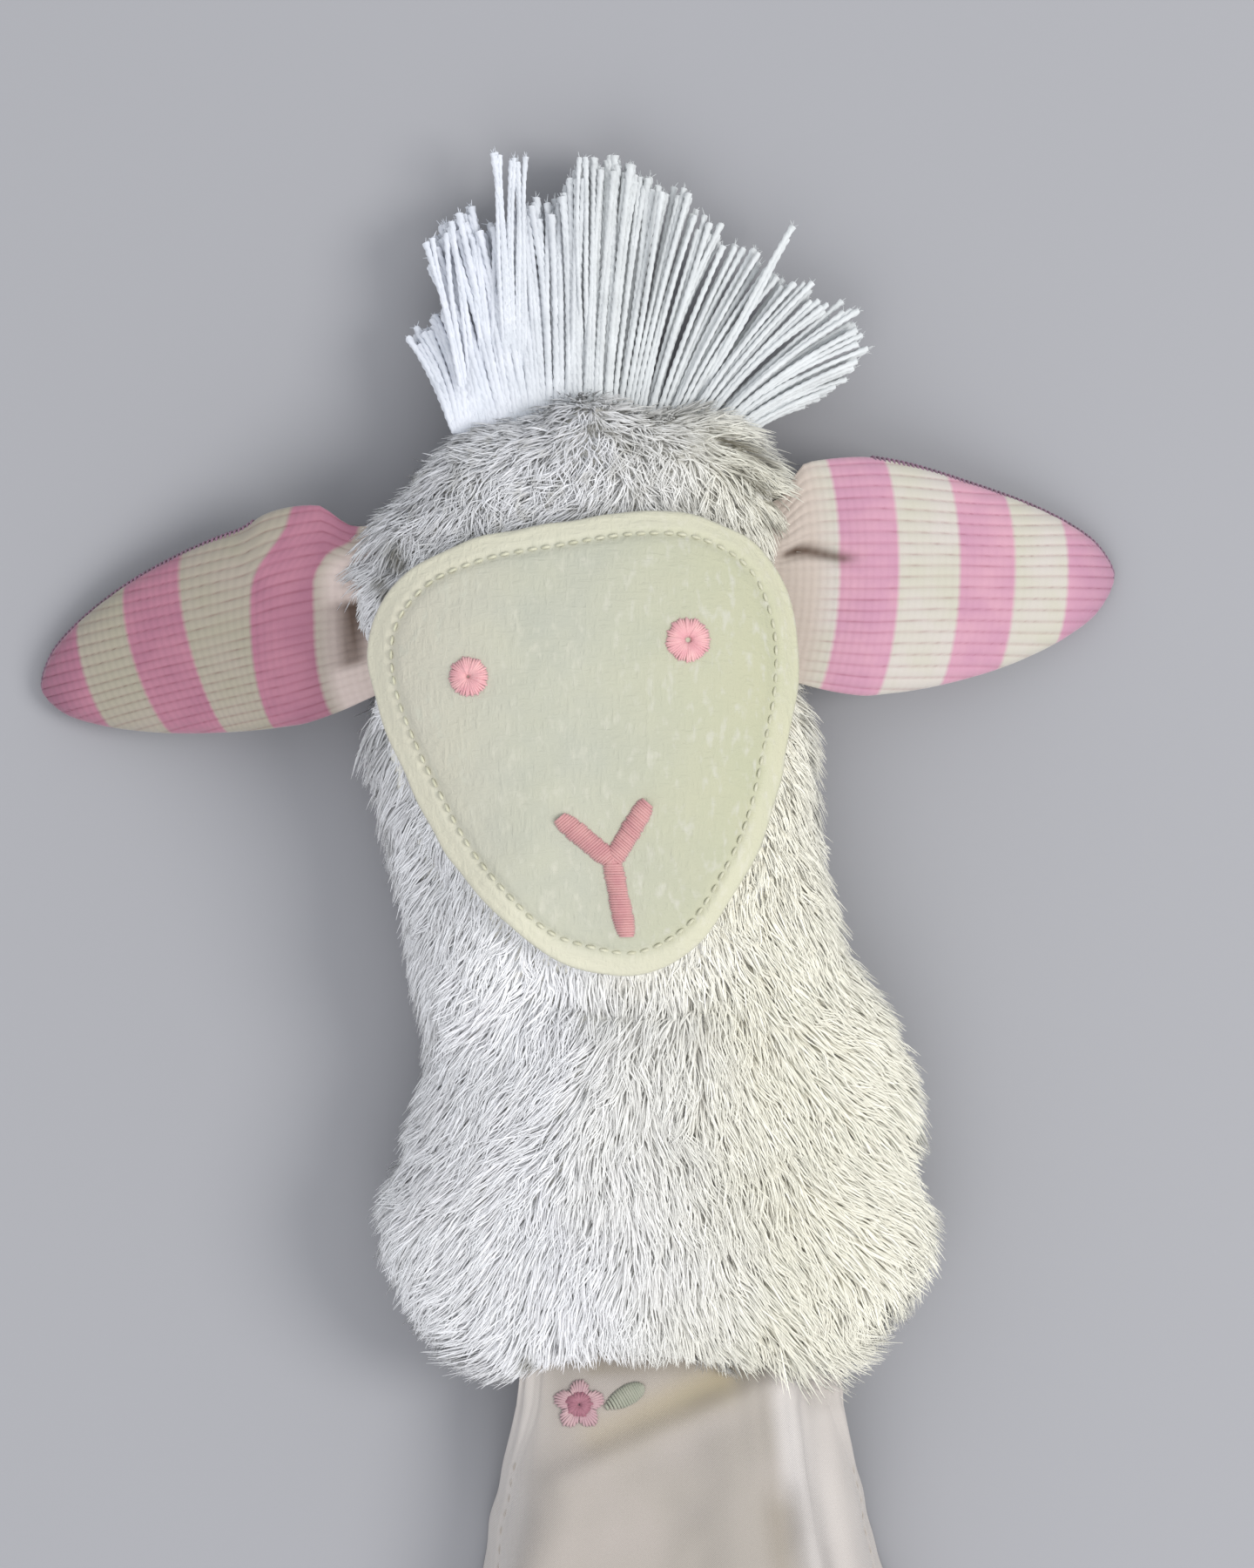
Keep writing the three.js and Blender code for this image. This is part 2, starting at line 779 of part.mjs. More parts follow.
// Blanket, in a frame with its origin on the line of the gathered heading, which it swings about
const sheetStart = headingRadius + seatGap;
const waistSectionShares = [
  [-1, 0],
  [-0.97, 0.3],
  [-0.9, 0.72],
  [-0.76, 0.96],
  [-0.5, 1],
  [-0.2, 0.88],
  [0.1, 0.84],
  [0.34, 0.93],
  [0.47, 0.72],
  [0.55, 0.3],
  [0.61, 0.12],
  [0.67, 0.36],
  [0.75, 0.78],
  [0.84, 0.88],
  [0.93, 0.6],
  [0.98, 0.24],
  [1, 0],
];
const hemSectionShares = [
  [-1, 0.05],
  [-0.87, 0.4],
  [-0.74, 0.95],
  [-0.61, 0.5],
  [-0.48, 0.05],
  [-0.36, 0.35],
  [-0.24, 0.85],
  [-0.12, 0.45],
  [0, 0.1],
  [0.13, 0.5],
  [0.26, 1],
  [0.4, 0.5],
  [0.53, 0.05],
  [0.65, 0.4],
  [0.76, 0.8],
  [0.88, 0.35],
  [1, 0.05],
];
const sectionCurve = (shares) =>
  new THREE.CatmullRomCurve3(shares.map(([x, z]) => new THREE.Vector3(x, 0, z)));
const waistSection = sectionCurve(waistSectionShares);
const hemSection = sectionCurve(hemSectionShares);
const clothTop = layerGap / 2 + clothThickness;
const floorLevel = floorClearance + clothTop - seamHeight;
const { smoothstep } = THREE.MathUtils;

// A point between the two layers: across runs 0 to 1 from the left edge, drop is the way down from
// the heading's line.
function blanketMiddle(across, drop) {
  const down = (drop - sheetStart) / (blanketLength - sheetStart);
  const fan = lerp(down ** 2, down, fanStartShare);
  const halfWidth = lerp(waistHalfWidth, hemHalfWidth, fan);
  const section = waistSection
    .getPoint(across)
    .lerp(hemSection.getPoint(across), smoothstep(down, 0, 1));
  const landed = smoothstep(drop, sheetStart, sheetStart + landingLength);
  const low = lerp(-waistCrest / 2, floorLevel, landed);
  const bunched = smoothstep(drop, 0, bunchingLength);
  const bunch = lerp(waistCrest / 2, bunchCrest - seamHeight, bunched);
  const high = lerp(bunch, hemCrest - seamHeight, smoothstep(down, bunchEndShare, 1));
  const x = lerp(headingCentreX, hemCentreX, down) + section.x * halfWidth;
  return new THREE.Vector3(x, -drop, lerp(low, high, section.z));
}

// The point that lies rise above the middle of the layers.
function blanketPoint(across, drop, rise) {
  const before = Math.max(across - probeShare, 0);
  const after = Math.min(across + probeShare, 1);
  const alongX = blanketMiddle(after, drop).sub(blanketMiddle(before, drop));
  const step = probeShare * blanketLength;
  const alongY = blanketMiddle(across, drop - step).sub(blanketMiddle(across, drop + step));
  const up = alongX.cross(alongY).normalize();
  return blanketMiddle(across, drop).addScaledVector(up, rise);
}

function clothLayer(low, high) {
  const facets = new Facets();
  const sheet = (rise) =>
    Array.from({ length: clothStepsAlong + 1 }, (_, j) =>
      Array.from({ length: clothStepsAcross + 1 }, (__, i) => {
        const drop = lerp(sheetStart, blanketLength, (j / clothStepsAlong) ** rowCrowding);
        return facets.point(blanketPoint(i / clothStepsAcross, drop, rise));
      }),
    );
  const top = sheet(high);
  const bottom = sheet(low);
  for (let j = 0; j < clothStepsAlong; j += 1) {
    facets.band(top[j + 1], top[j], false);
    facets.band(bottom[j], bottom[j + 1], false);
  }
  const rim = (rows) => [
    ...rows[0],
    ...rows.slice(1, -1).map((row) => row.at(-1)),
    ...[...rows.at(-1)].reverse(),
    ...rows.slice(1, -1).map((row) => row[0]).reverse(),
  ];
  facets.band(rim(top), rim(bottom));
  return facets.geometry();
}

// The point of the blanket's top above x, y.
function onBlanket(x, y, rise) {
  let [left, right] = [0, 1];
  for (let i = 0; i < searchSteps; i += 1) {
    const middle = (left + right) / 2;
    if (blanketMiddle(middle, -y).x < x) left = middle;
    else right = middle;
  }
  return blanketPoint(left, -y, clothTop + rise);
}

function makeFlower() {
  const petals = (angle) =>
    flowerRadius * (1 - petalDepthShare * (1 - Math.cos(petalCount * angle)));
  const lean = radians(leafLean);
  const leafX = flowerX + flowerRadius + leafHalfLength;
  const leafRadius = (angle) =>
    (leafHalfLength * leafHalfWidth) /
    Math.hypot(leafHalfWidth * Math.cos(angle), leafHalfLength * Math.sin(angle));
  const turned = (x, y) => [
    x * Math.cos(lean) - y * Math.sin(lean),
    x * Math.sin(lean) + y * Math.cos(lean),
  ];
  const onFlower = (x, y, rise) => onBlanket(flowerX + x, y - flowerDrop, rise);
  const onLeaf = (x, y, rise) => {
    const [across, up] = turned(x, y);
    return onBlanket(leafX + across, up - flowerDrop, rise);
  };
  return [
    piece("flower_embroidery", pad(onFlower, petals, motifRise, petalSides), flowerPink),
    piece("leaf_embroidery", pad(onLeaf, leafRadius, motifRise), leafGreen),
  ];
}

function makeBlanket() {
  const blanket = new THREE.Group();
  const seat = torsoHemLine + seatGap + headingRadius;
  blanket.position.set(0, -seat, seamHeight);
  const headingRoll = roll(headingRadius, headingHalfLength);
  const heading = piece("blanket_heading", headingRoll, blanketIvory);
  heading.position.x = headingCentreX;
  blanket.add(
    heading,
    piece("blanket_top", clothLayer(layerGap / 2, clothTop), blanketIvory),
    piece("blanket_lining", clothLayer(-clothTop, -layerGap / 2), blanketIvory),
    ...makeFlower(),
  );
  return blanket;
}

const comforter = new THREE.Group();
comforter.add(makeTorso(), makeHead(), makeBlanket());

export default comforter;
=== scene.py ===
"""A plush lamb comforter lying on its back, seen straight from above.

Sizes are in millimetres and become metres where a mesh is made. X is to the right, Y towards the
crown and Z out of the face.
"""

import json
import math

import bpy
import numpy as np
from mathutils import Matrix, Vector
from mathutils.kdtree import KDTree


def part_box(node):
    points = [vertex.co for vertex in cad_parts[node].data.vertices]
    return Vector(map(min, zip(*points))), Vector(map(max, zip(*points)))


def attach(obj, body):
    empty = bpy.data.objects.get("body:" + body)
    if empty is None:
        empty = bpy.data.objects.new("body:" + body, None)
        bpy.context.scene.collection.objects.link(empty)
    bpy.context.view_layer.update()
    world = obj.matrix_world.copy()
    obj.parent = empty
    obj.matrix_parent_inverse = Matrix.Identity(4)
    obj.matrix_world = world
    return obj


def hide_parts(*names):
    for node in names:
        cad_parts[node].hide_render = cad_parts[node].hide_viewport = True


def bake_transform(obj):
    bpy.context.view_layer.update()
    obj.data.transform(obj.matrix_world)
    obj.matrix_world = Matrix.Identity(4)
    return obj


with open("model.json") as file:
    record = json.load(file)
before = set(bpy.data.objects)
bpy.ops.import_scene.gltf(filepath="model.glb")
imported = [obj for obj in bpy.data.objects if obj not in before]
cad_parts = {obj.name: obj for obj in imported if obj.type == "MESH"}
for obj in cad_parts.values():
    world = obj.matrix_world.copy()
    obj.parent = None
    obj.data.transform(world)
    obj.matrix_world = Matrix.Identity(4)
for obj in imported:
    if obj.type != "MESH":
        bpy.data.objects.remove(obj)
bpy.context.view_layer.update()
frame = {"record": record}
MM = 0.001

# Places that the frame gives
JOINTS = {joint["name"]: joint for joint in frame["record"]["behaviour"]["joints"]}
NECK = np.array(JOINTS["neck_nod"]["pos_m"]) / MM
WAIST = np.array(JOINTS["blanket_swing"]["pos_m"]) / MM
SEAM_HEIGHT = NECK[2]

# Camera
PHOTO_SIZE_PX = (1440, 1800)
PX_PER_MM = 7
PHOTO_ORIGIN_PX = (752, 1340)
CAMERA_HEIGHT = 1200
SENSOR_HEIGHT = 36

# Points along the smooth curves that places are read from
OUTLINE_STEPS = 1440
CURVE_STEPS = 400
FACE_CURVE_STEPS = 2000
EAR_CURVE_STEPS = 2400
SECTION_STEPS = 1200

# Stuffed forms
FULLNESS = 2.5
REST_CUT = 0.5
PILE_DEPTH = 4.4
VOXEL = 1.5
SKIN_SIDES = 96
SKIN_STEPS = 26
SKIN_SOFTENING = 0.5
SKIN_SOFTENING_ROUNDS = 30
SKIN_LUMP = 0.9
SKIN_LUMP_SIZE = 13
SEAM_FADE = 4
FELT_BED = 1.4
FELT_BED_SLOPE = (1, 6)
HEAD_TILT = 9.5
HEAD_NECK_DROP = 54.5
HEAD_HALF_WIDTH = 38.3
HEAD_CROWN_RISE = 47.3
HEAD_FRONT_RISE = 24
NECK_HALF_WIDTH = 34.5
NECK_OVERRUN = 4
TORSO_HALF_WIDTH = 46.5
TORSO_HEM_HALF_WIDTH = 30.5
TORSO_HEM_LINE = 33.5
TORSO_FRONT_RISE = 18
NECK_EDGE_SHARES = [(0, 1), (0.52, 1), (0.92, 0.4)]
SHOULDER_SHARES = [(0.09, 0.8), (0.45, 0.4), (0.81, 0)]
FLANK_SHARES = [(1, 0.2), (0.95, 0.45), (0.58, 0.76), (0, 0.95)]
HEM_SHARES = [0.85, 0.4, 0]
CROWN_SHARES = [(0, 1), (0.36, 0.97), (0.65, 0.86), (0.86, 0.66), (0.975, 0.38), (1, 0.08)]
CHEEK_SHARES = [(0.9, 0.15), (0.6, 0.37), (0.18, 0.6), (0.09, 0.85)]
NECK_BLEND = 11
NECK_PART_SHARE = 0.02
NECK_PAD_FRONT = 12.5
NECK_PAD_BACK = 13
NECK_PAD_POINTS = [
    (0, 19), (20, 18), (30, 14), (35.5, 7), (39.5, -1), (42, -9), (43, -17), (38, -26), (0, -28),
    (-30, -25), (-36, -16), (-33.6, -8), (-33, 2), (-32.8, 11), (-26, 17),
]

# Where the stuffing bulges, as a line seen from above, its width and its rise
SKIN_BUMPS = [
    ((8, 117), (14, 109), 6, 7), ((-43, 105), (-48, 90), 6, 1.6), ((-9, 121), (5, 119.5), 7, 4),
    ((-30, 119), (-14, 123), 7, 5.5),
]

# Fur. Lifts off the skin and scatter are in radians
STRAND_RADIUS = 0.165
STRAND_STEPS = 4
STRAND_SIDES = 3
STRAND_TAPER = (1, 0.92, 0.66, 0.14)
STRAND_WIDTHS = (0.75, 1.25)
STRANDS = 88000
STRANDS_PER_PIECE = 9500
STRANDS_PER_LOCK = 14
LOCK_SPACING = 2.2
TORSO_PILE = 7.6
HEAD_PILE = 7.0
FACE_SIDE_PILE = 5.2
FACE_SIDE_REACH = 4.8
EAR_SIDE_PILE = 4.8
EAR_SIDE_DEPTH = 17
EAR_SIDE_REACH = 19
EAR_BARE_REACH = 15.5
CROWN_EDGE_PILE = 5.5
PILE_LIFT = 0.78
FACE_SIDE_LIFT = 0.55
CROWN_EDGE_LIFT = 0.5
PILE_SCATTER = 0.28
CROWN_SCATTER = 0.5
FLOOR_SKIM = 0.3
SOFT_NORMALS = 0.72
FELT_UNDERLAP = 3.5
FELT_UNDERLAP_SHARE = 0.55
PARTING_DEPTH = 1.8
PARTING_SPREAD = 1.6
PILE_LENGTH_SHARES = (0.75, 1.2)
LIFT_SPREAD = 0.14
LIFT_UNEVENNESS = 0.1
SETTLED_SHARE = 0.35
LOCK_PULL_SHARES = (0.15, 0.75)
LOCK_PULL_POWER = 1.4
FLOOR_SCATTER = 0.4

# How the pile is combed: how much it flares, and where one way of lying turns into the next
TORSO_FLARE = 1.1
CHEEK_FLARE = 0.55
CHEEK_SPREAD = 12
CROWN_PARTING = 13
CROWN_SPREAD = 14
CROWN_WANDER = 0.7
CROWN_FALL = 0.75
CROWN_OVER = 0.9
CROWN_OVER_LEVEL = 2
CROWN_OVER_REACH = 3
CROWN_EDGE_SHARES = (0.85, 0.93)
CROWN_EDGE_FALL = 0.4
CROWN_EDGE_OVER = 0.4
CROWN_START = (16, 34)
CROWN_TOP_START = (20, 34)
CROWN_TOP_SLOPES = (0.5, 0.9)
HEAD_START = (-2, 10)
BY_EAR_START = (-18, -11)
BY_EAR_SIDES = (-21, -17)
BY_EAR_FALL = 0.25
BY_EAR_LEVEL = 2
BY_EAR_HALF_HEIGHT = 8

# Slow turns in the pile, as how far in radians, the size they vary over and their seed
SWIRLS = [(0.4, 11, 2), (0.3, 5, 5)]

# Dark gaps in the pile, as a line seen from above and its width
FUR_PARTINGS = [
    ((33, 38), (42.5, 22), 1.3), ((11, 119), (15, 117), 1.3), ((17, 116.5), (20, 114.5), 1.4),
    ((17, 110.5), (20.5, 108.5), 1.1), ((-42.6, 100), (-41.4, 98.2), 1.2), ((-15, 27.5), (-3, 26), 0.8),
    ((1, 26), (9, 28), 0.7), ((-43.5, 72), (-40, 61), 0.8), ((-38, 55), (-34, 47), 0.7),
]

# Painted shadow in the pile: dark flecks where its gaps fall in shade, as a line seen from above, its
# width and how dark
FUR_PAINTED_SHADOWS = [
    ((11, 119), (14.5, 117.4), 1.3, 1), ((15, 117), (19.5, 115), 1.6, 0.9),
    ((13.5, 114), (15, 112.6), 1.1, 0.8), ((16.6, 110.8), (20.2, 108.6), 1.4, 0.9),
    ((18.5, 104.8), (22, 103.2), 1.3, 0.7), ((-9.5, 121), (-6.5, 119.6), 1.1, 0.6),
    ((-5, 117.4), (-2, 116.6), 0.96, 0.6), ((-33, 116), (-32, 111.5), 0.96, 0.5),
    ((-42.8, 100.2), (-41.6, 98), 1.6, 0.8), ((-45, 95.5), (-43.6, 93), 1.3, 0.8),
    ((33.5, 37), (41, 25), 1.3, 0.4), ((-34, 63), (-38, 70), 0.96, 0.4),
    ((27, 70), (29, 62), 1.1, 0.4), ((10, 117), (20, 107), 4, 0.3),
    ((-21.6, -31.4), (-20.4, -33.2), 1, 0.9),
]

# Longer or shorter pile, as a line seen from above, its width and the share gained or lost
FUR_TUFTS = [
    ((-27, -30), (-21, -31), 2.5, 0.45), ((21, -28), (27, -27), 3, 0.55),
    ((45, -2), (45, -20), 5, 0.35), ((-11, -31), (6, -31), 4, -0.5), ((10, -30.5), (20, -30), 3, 0.4),
    ((16, 116), (20, 104), 4, 0.35), ((-44, 103), (-48, 92), 4, 0.3),
    ((-46.5, 93.5), (-46, 80), 3, -0.7), ((-46.8, 76), (-45.5, 72), 2.5, 0.95),
]

# Felt face
FACE_HALF_WIDTH = 36
FACE_BROW_RISE = 30.2
FACE_CHIN_DROP = 47.6
FELT_THICKNESS = 1.6
FELT_LIFT = 0.3
FELT_TRIM = 0.9
FELT_SIDES = 420
FELT_STEPS = 46
FELT_EDGE_STEPS = 22
FELT_INNER_SHARES = (0.01, 0.84)
FELT_OUTER_SHARES = (0.85, 1)
FACE_LEVEL = 2
FELT_UNEVENNESS = 0.12
FELT_EDGE_UNEVENNESS = 0.35
FELT_EDGE_DROP = 0.6
FELT_PAINTED_LIGHT_RIM = (0.8, 4.4)
BROW_SHARES = [(0, 0.97), (0.39, 0.95), (0.7, 0.85), (0.92, 0.62), (1, 0.28)]
CHIN_SHARES = [(0.97, 0.06), (0.86, 0.3), (0.71, 0.545), (0.54, 0.72), (0.3, 0.9), (0, 1)]

# Where the face's outline is drawn in, as a direction and its spread in degrees, and how far
FACE_DRAWN_IN = [(182, 34, 2.8), (232, 26, 1.4), (267, 12, 2.4), (345, 40, 0.4)]

# Stitches and embroidery
STITCH_SIDES = 6
STITCH_STEPS = 7
SATIN_STEPS = 9
SATIN_ROUNDNESS = 0.55
SATIN_RISES = (0.9, 1.08)
SATIN_WIDTHS = (0.9, 1.12)
TOPSTITCH_INSET = 3
TOPSTITCH_LENGTH = 1.4
TOPSTITCH_GAP = 0.8
TOPSTITCH_RADIUS = 0.27
TOPSTITCH_RISE = 0.5
TOPSTITCH_GROOVE = 0.55
TOPSTITCH_GROOVE_WIDTH = 0.9
STITCH_JITTER = 0.15
STITCH_SINK = 0.15
EMBROIDERY_RISE = 0.9
THREAD_RADIUS = 0.24
EYE_THREAD_PITCH = 1.8 * THREAD_RADIUS
NOSE_THREAD_PITCH = 1.75 * THREAD_RADIUS
NOSE_ARM = (7.2, -17.8)
NOSE_FORK = (0, -26.2)
NOSE_FOOT = (0.3, -38.6)
NOSE_HALF_WIDTH = 1.6
NOSE_SLANT = 0.18

# Each eye's middle from the head's middle, its radius and the hole left in it
EYES = {"eye_left": (-17.9, 6.9, 3.1, 0.3), "eye_right": (17.9, 6.9, 3.5, 0.55)}

# Ears
EAR_LENGTH = 49
EAR_HALF_WIDTH = 18
EAR_SETBACK = 3
EAR_RISE = 4.2
EAR_DROOP = 17
EAR_ROOT_REACH = 10
EAR_ROOT_SEAM = 9
EAR_ROOT_RUN = 9
EAR_ROOT_LIFT = -0.5
EAR_ROOT_PINCH = 0.05
EAR_ROOT_RISE_SHARE = 0.2
EAR_TAPER_START_SHARE = 0.1
EAR_TAPER_SHARE = 0.4
EAR_TIP_CLEARANCE = 0.02
EAR_SEWN_SHARE = -0.42
EAR_SEWN_WIDTH_SHARES = (0.9, 0.98)
EAR_HALF_SHARES = [
    (0.5, 0), (0.45, 0.28), (0.35, 0.49), (0.17, 0.72), (-0.03, 0.88),
    (-0.25, 0.98), (-0.42, 0.98), (-0.49, 0.8), (-0.5, 0.4), (-0.5, 0),
]
EAR_STEPS = 84
EAR_TIP_STEPS = 22
EAR_TIP_LENGTH = 5
EAR_COLUMNS = 151

# How each ear departs from the plain one: its lower half, its upper half and its sag
EAR_LOW_SHARE = {"right": 1.08, "left": 0.87}
EAR_LOW_ROOT_SHARE = {"right": 1, "left": 0.8}
EAR_SHOULDERS = {"right": (-8, 18, 0.1), "left": (13, 21, 0.11)}
EAR_TOP_NOTCH = {"right": 0.3, "left": 0.2}
EAR_NOTCH_SWEEP = (0.55, 0.9)
EAR_SAG = {"right": 0, "left": 1.3}
EAR_SOFT_SEEDS = {"right": 9, "left": 8}

# Creases near the root, as a line on the flat ear, its width and its rise
EAR_CREASES = {
    "right": [((-22.8, 4.6), (-19.9, 2.8), 1.1, -1.6)],
    "left": [((-22.9, -1.5), (-22.3, 9), 1.5, -1.8)],
}
CREASE_FADE = 0.6
CREASE_SHADE_FADE = 0.25
CREASE_SHADE_WIDTH = 0.7

# The knit's ribs and stripes: how far out the stripes end, and how they lean on the way out
RIB_PITCH = 1.7
RIB_DEPTH = 0.36
COURSE_PITCH = 1.25
STRIPE_ENDS = {"right": [0.1, 10, 20.6, 30.2, 39.6], "left": [-0.9, 9.9, 20.6, 30.7, 39.9]}
STRIPE_BOW = 0.006
STRIPE_FADE = 0.35
STRIPE_LEANS = {
    "right": [(-12, 0.04), (60, 0.04)],
    "left": [(-12, -0.17), (9, -0.16), (22, 0.1), (60, 0.08)],
}
STRIPE_TOP_SHIFTS = {"right": 0, "left": 5.5}
STRIPE_TOP_RISE = (6, 16)
STRIPE_TOP_RUN = (12, 21)

# The overcast seam
OVERCAST_PITCH = 0.85
OVERCAST_RADIUS = 0.26
OVERCAST_SIDES = 5
OVERCAST_LEAN = 0.4
OVERCAST_INSET = 0.95
OVERCAST_REACH = 1.15
OVERCAST_RISE = 0.8

# Mane: where its yarns leave the crown and where they end, seen from above
MANE_ROOTS = [
    (-33, 120.4), (-27.5, 120), (-21.5, 120.6), (-15, 121), (-7, 121.4), (-1, 120.6), (4, 119),
    (8, 118), (11, 117),
]
MANE_TIPS = [
    (-40.3, 136.4), (-37, 138), (-34.8, 141), (-34, 145), (-35.9, 147.5), (-36.7, 152),
    (-34, 155), (-31, 157.3), (-29.3, 154.3), (-25.5, 154.5), (-21, 158.6), (-16, 158.9),
    (-12.3, 164), (-8.1, 165.6), (-3.9, 164.5), (1.4, 162.1), (6.1, 159.6), (8.2, 156.4),
    (12.3, 153.1), (17.9, 148.9), (21.6, 146.3), (25.7, 145), (27.5, 142), (32, 141),
    (35, 136.2), (33.7, 133), (31, 129.8), (24.5, 124.8),
]
MANE_PARTING = 0.5
LEFT_YARNS = 300
RIGHT_YARNS = 98
YARN_RADIUS = 0.5
RIGHT_YARN_SHARE = 0.82
YARN_TWIST = 3.4
YARN_STEPS = 60
YARN_SIDES = 7
YARN_LOBES = 0.18
YARN_WIDTHS = (0.86, 1.1)
YARN_SOFT_NORMALS = 0.15
YARN_LENGTH_SHARES = (0.94, 1.01)
YARN_THINNING_SHARES = (0.45, 0.6)
YARN_ROOT_SHARE = 0.75
YARN_ROOT_END_SHARE = 0.12
YARN_FRAY_GAIN = 0.35
YARN_FRAY_START_SHARE = 0.9
YARN_TIP_SCATTER = 0.5
YARN_LAYER = 0.95
YARN_ARCH = 1.2
YARN_WAVE = 0.35
YARN_DROP = 6.5
YARN_DROP_SPREAD = 0.12
DROP_POWER = 1.8
MANE_RISE = 2.4
MANE_BOW_SHARES = [(0, -0.05), (0.15, -0.02), (0.45, 0), (1, 0.05)]
MANE_BOW_SPREAD = 0.012
TUFT_RISES = (2.6, 1.2)
TUFT_SWAY = 0.9
TUFT_DROP = 5.5
FRAY_PER_YARN = 4
FRAY_STEPS = 4
FRAY_RADII = (0.11, 0.11, 0.088, 0.044)
FRAY_SPREAD = 0.2
FRAY_LENGTHS = (0.7, 1.5)
FRAY_CURL = 0.3
FRAY_START = 0.6

# The tall fan of tufts: its middle's root and tip, how far aside its tips lie and its yarns
TUFT_FAN = [(-22.5, 123), (-24, 166.6)]
TUFT_FAN_ASIDE = (-3, 2.7)
TUFT_FAN_YARNS = 12
TUFT_FAN_ROOT_SHARE = 0.45
TUFT_FAN_STAGGER = 0.3

# Other tufts: root and tip of the middle, how much a root moves aside and a tip up for each
# millimetre that the tip lies aside, and how far aside the tips lie
TUFTS = [
    ((-11, 124), (-12.5, 165.8), 1, 0, (-0.5, 0.4)),
    ((4.6, 122.6), (23.2, 154.6), 0, 0, (0,)),
    ((5, 122.4), (22.6, 152.6), 0, 0, (0,)),
    ((-30, 121), (-36, 152.5), 0.4, 0.8, (-0.9, 0, 1, 2.2, 3.4)),
    ((-26, 122), (-28.5, 153.4), 0.3, 0.3, (-2.4, -1.2, 0, 1.3, 2.6)),
]

# Blanket
BLANKET_LENGTH = 187
BLANKET_TURN_IN = 6.5
TURN_IN_RUN = (-4, 6)
TURN_IN_CREST_SHARE = 0.3
BLANKET_ROWS = 210
BLANKET_UPPER_ROWS = 70
BLANKET_UPPER_LENGTH = 30
BLANKET_COLUMNS = 300
CLOTH_THICKNESS = 0.9
LAYER_GAP = 0.7
SHEET_START = 2.8
HEADING_CENTRE_X = 3
WAIST_HALF_WIDTH = 26.5
HEM_HALF_WIDTH = 104
HEM_CENTRE_X = 8
LEFT_EDGE_SPREAD = 1.3
LEFT_EDGE_DROP = 20
LEFT_EDGE_RUN = 14
LEFT_EDGE_SHARE = 0.2
WAIST_CREST = 3.2
BUNCH_CREST = 21
HEM_CREST = 11
FLOOR_CLEARANCE = 0.35
LANDING_LENGTH = 24
BUNCHING_LENGTH = 18
BUNCH_END_SHARE = 0.15
FAN_START_SHARE = 0.37

# The folds across the waist and the hem, as shares of half the width and of the crest
WAIST_SECTION_SHARES = [
    (-0.91, 0), (-0.88, 0.3), (-0.82, 0.72), (-0.7, 0.96), (-0.47, 1), (-0.2, 0.88), (0.1, 0.84),
    (0.34, 0.93), (0.46, 0.9), (0.54, 0.85), (0.61, 0.82), (0.69, 0.85), (0.77, 0.9),
    (0.84, 0.94), (0.93, 0.66), (0.98, 0.24), (1, 0),
]
HEM_SECTION_SHARES = [
    (-1, 0.05), (-0.87, 0.4), (-0.74, 0.95), (-0.61, 0.5), (-0.48, 0.05), (-0.36, 0.35),
    (-0.24, 0.85), (-0.12, 0.45), (0, 0.1), (0.13, 0.5), (0.26, 1), (0.4, 0.5), (0.53, 0.05),
    (0.65, 0.4), (0.76, 0.8), (0.88, 0.35), (1, 0.05),
]

# Single folds, as a line seen from above, its width and its rise
CLOTH_FOLDS = [
    ((18, -35.7), (-15, -51), 2.6, 1.1), ((14, -33), (-10, -44), 4, -1.1),
    ((20.5, -54), (24, -80), 3.2, -2.2), ((27, -41), (34, -80), 3.2, 1),
    ((-14, -55), (-24, -84), 3.4, 0.8), ((2, -56), (-4, -90), 4, -0.9),
]

# Crumples, as their depth, their size, their seed and the share of the way down they grow over
CRUMPLES = [(0.9, 10, 11, (0.03, 0.2)), (0.35, 4.2, 12, (0.0, 0.15))]
GATHERS = 13
GATHER_DEPTH = 0.12
GATHER_LENGTH = 16
RAYS = 6.3
RAY_DEPTH = 1.1
RAY_GROWTH = (0.04, 0.4)

# Where one fold laps over another the cloth lies calmer
LAP = 0.62
LAP_WIDTH = 0.12
LAP_CALM = 0.85
LAP_FADE = (30, 70)

# Painted shadow on the cloth, where it is tucked under the pile's hem and in a fold, as a line seen
# from above, its width and how much
CLOTH_PAINTED_SHADOWS = {
    "olive": [((10.5, -35), (-9, -44), 3.4, 0.85)],
    "grey": [((-10, -33), (5, -33.1), 1.4, 1), ((21, -57), (24, -82), 3.2, 0.8)],
}
PAINTED_SHADOW_TINTS = {"olive": (176, 160, 119), "grey": (136, 127, 112)}

# Painted light on the cloth, on its right-hand folds and along its left edge: where it starts and dims
# across, and where it fades on the way down
PAINTED_LIGHT_SHARES = (0.57, 0.7)
PAINTED_LIGHT_DIM_SHARES = (0.7, 0.85)
PAINTED_LIGHT_FADE = (60, 130)
LEFT_PAINTED_LIGHT_SHARES = (0.08, 0.2)
LEFT_PAINTED_LIGHT_STRENGTH = 0.7

# Hem
HEM_INSET = 6
HEM_RISE = 0.45
HEM_DENT = 0.35
HEM_DENT_WIDTH = 0.7
HEM_STITCH_START = 12
HEM_STITCH_PITCH = 3.2
HEM_STITCH_LENGTH = 2.3
HEM_STITCH_STEPS = 6
HEM_STITCH_SIDES = 5
HEM_STITCH_RADIUS = 0.2
HEM_STITCH_SINK = 0.25
HEM_STITCH_RISE = 0.45

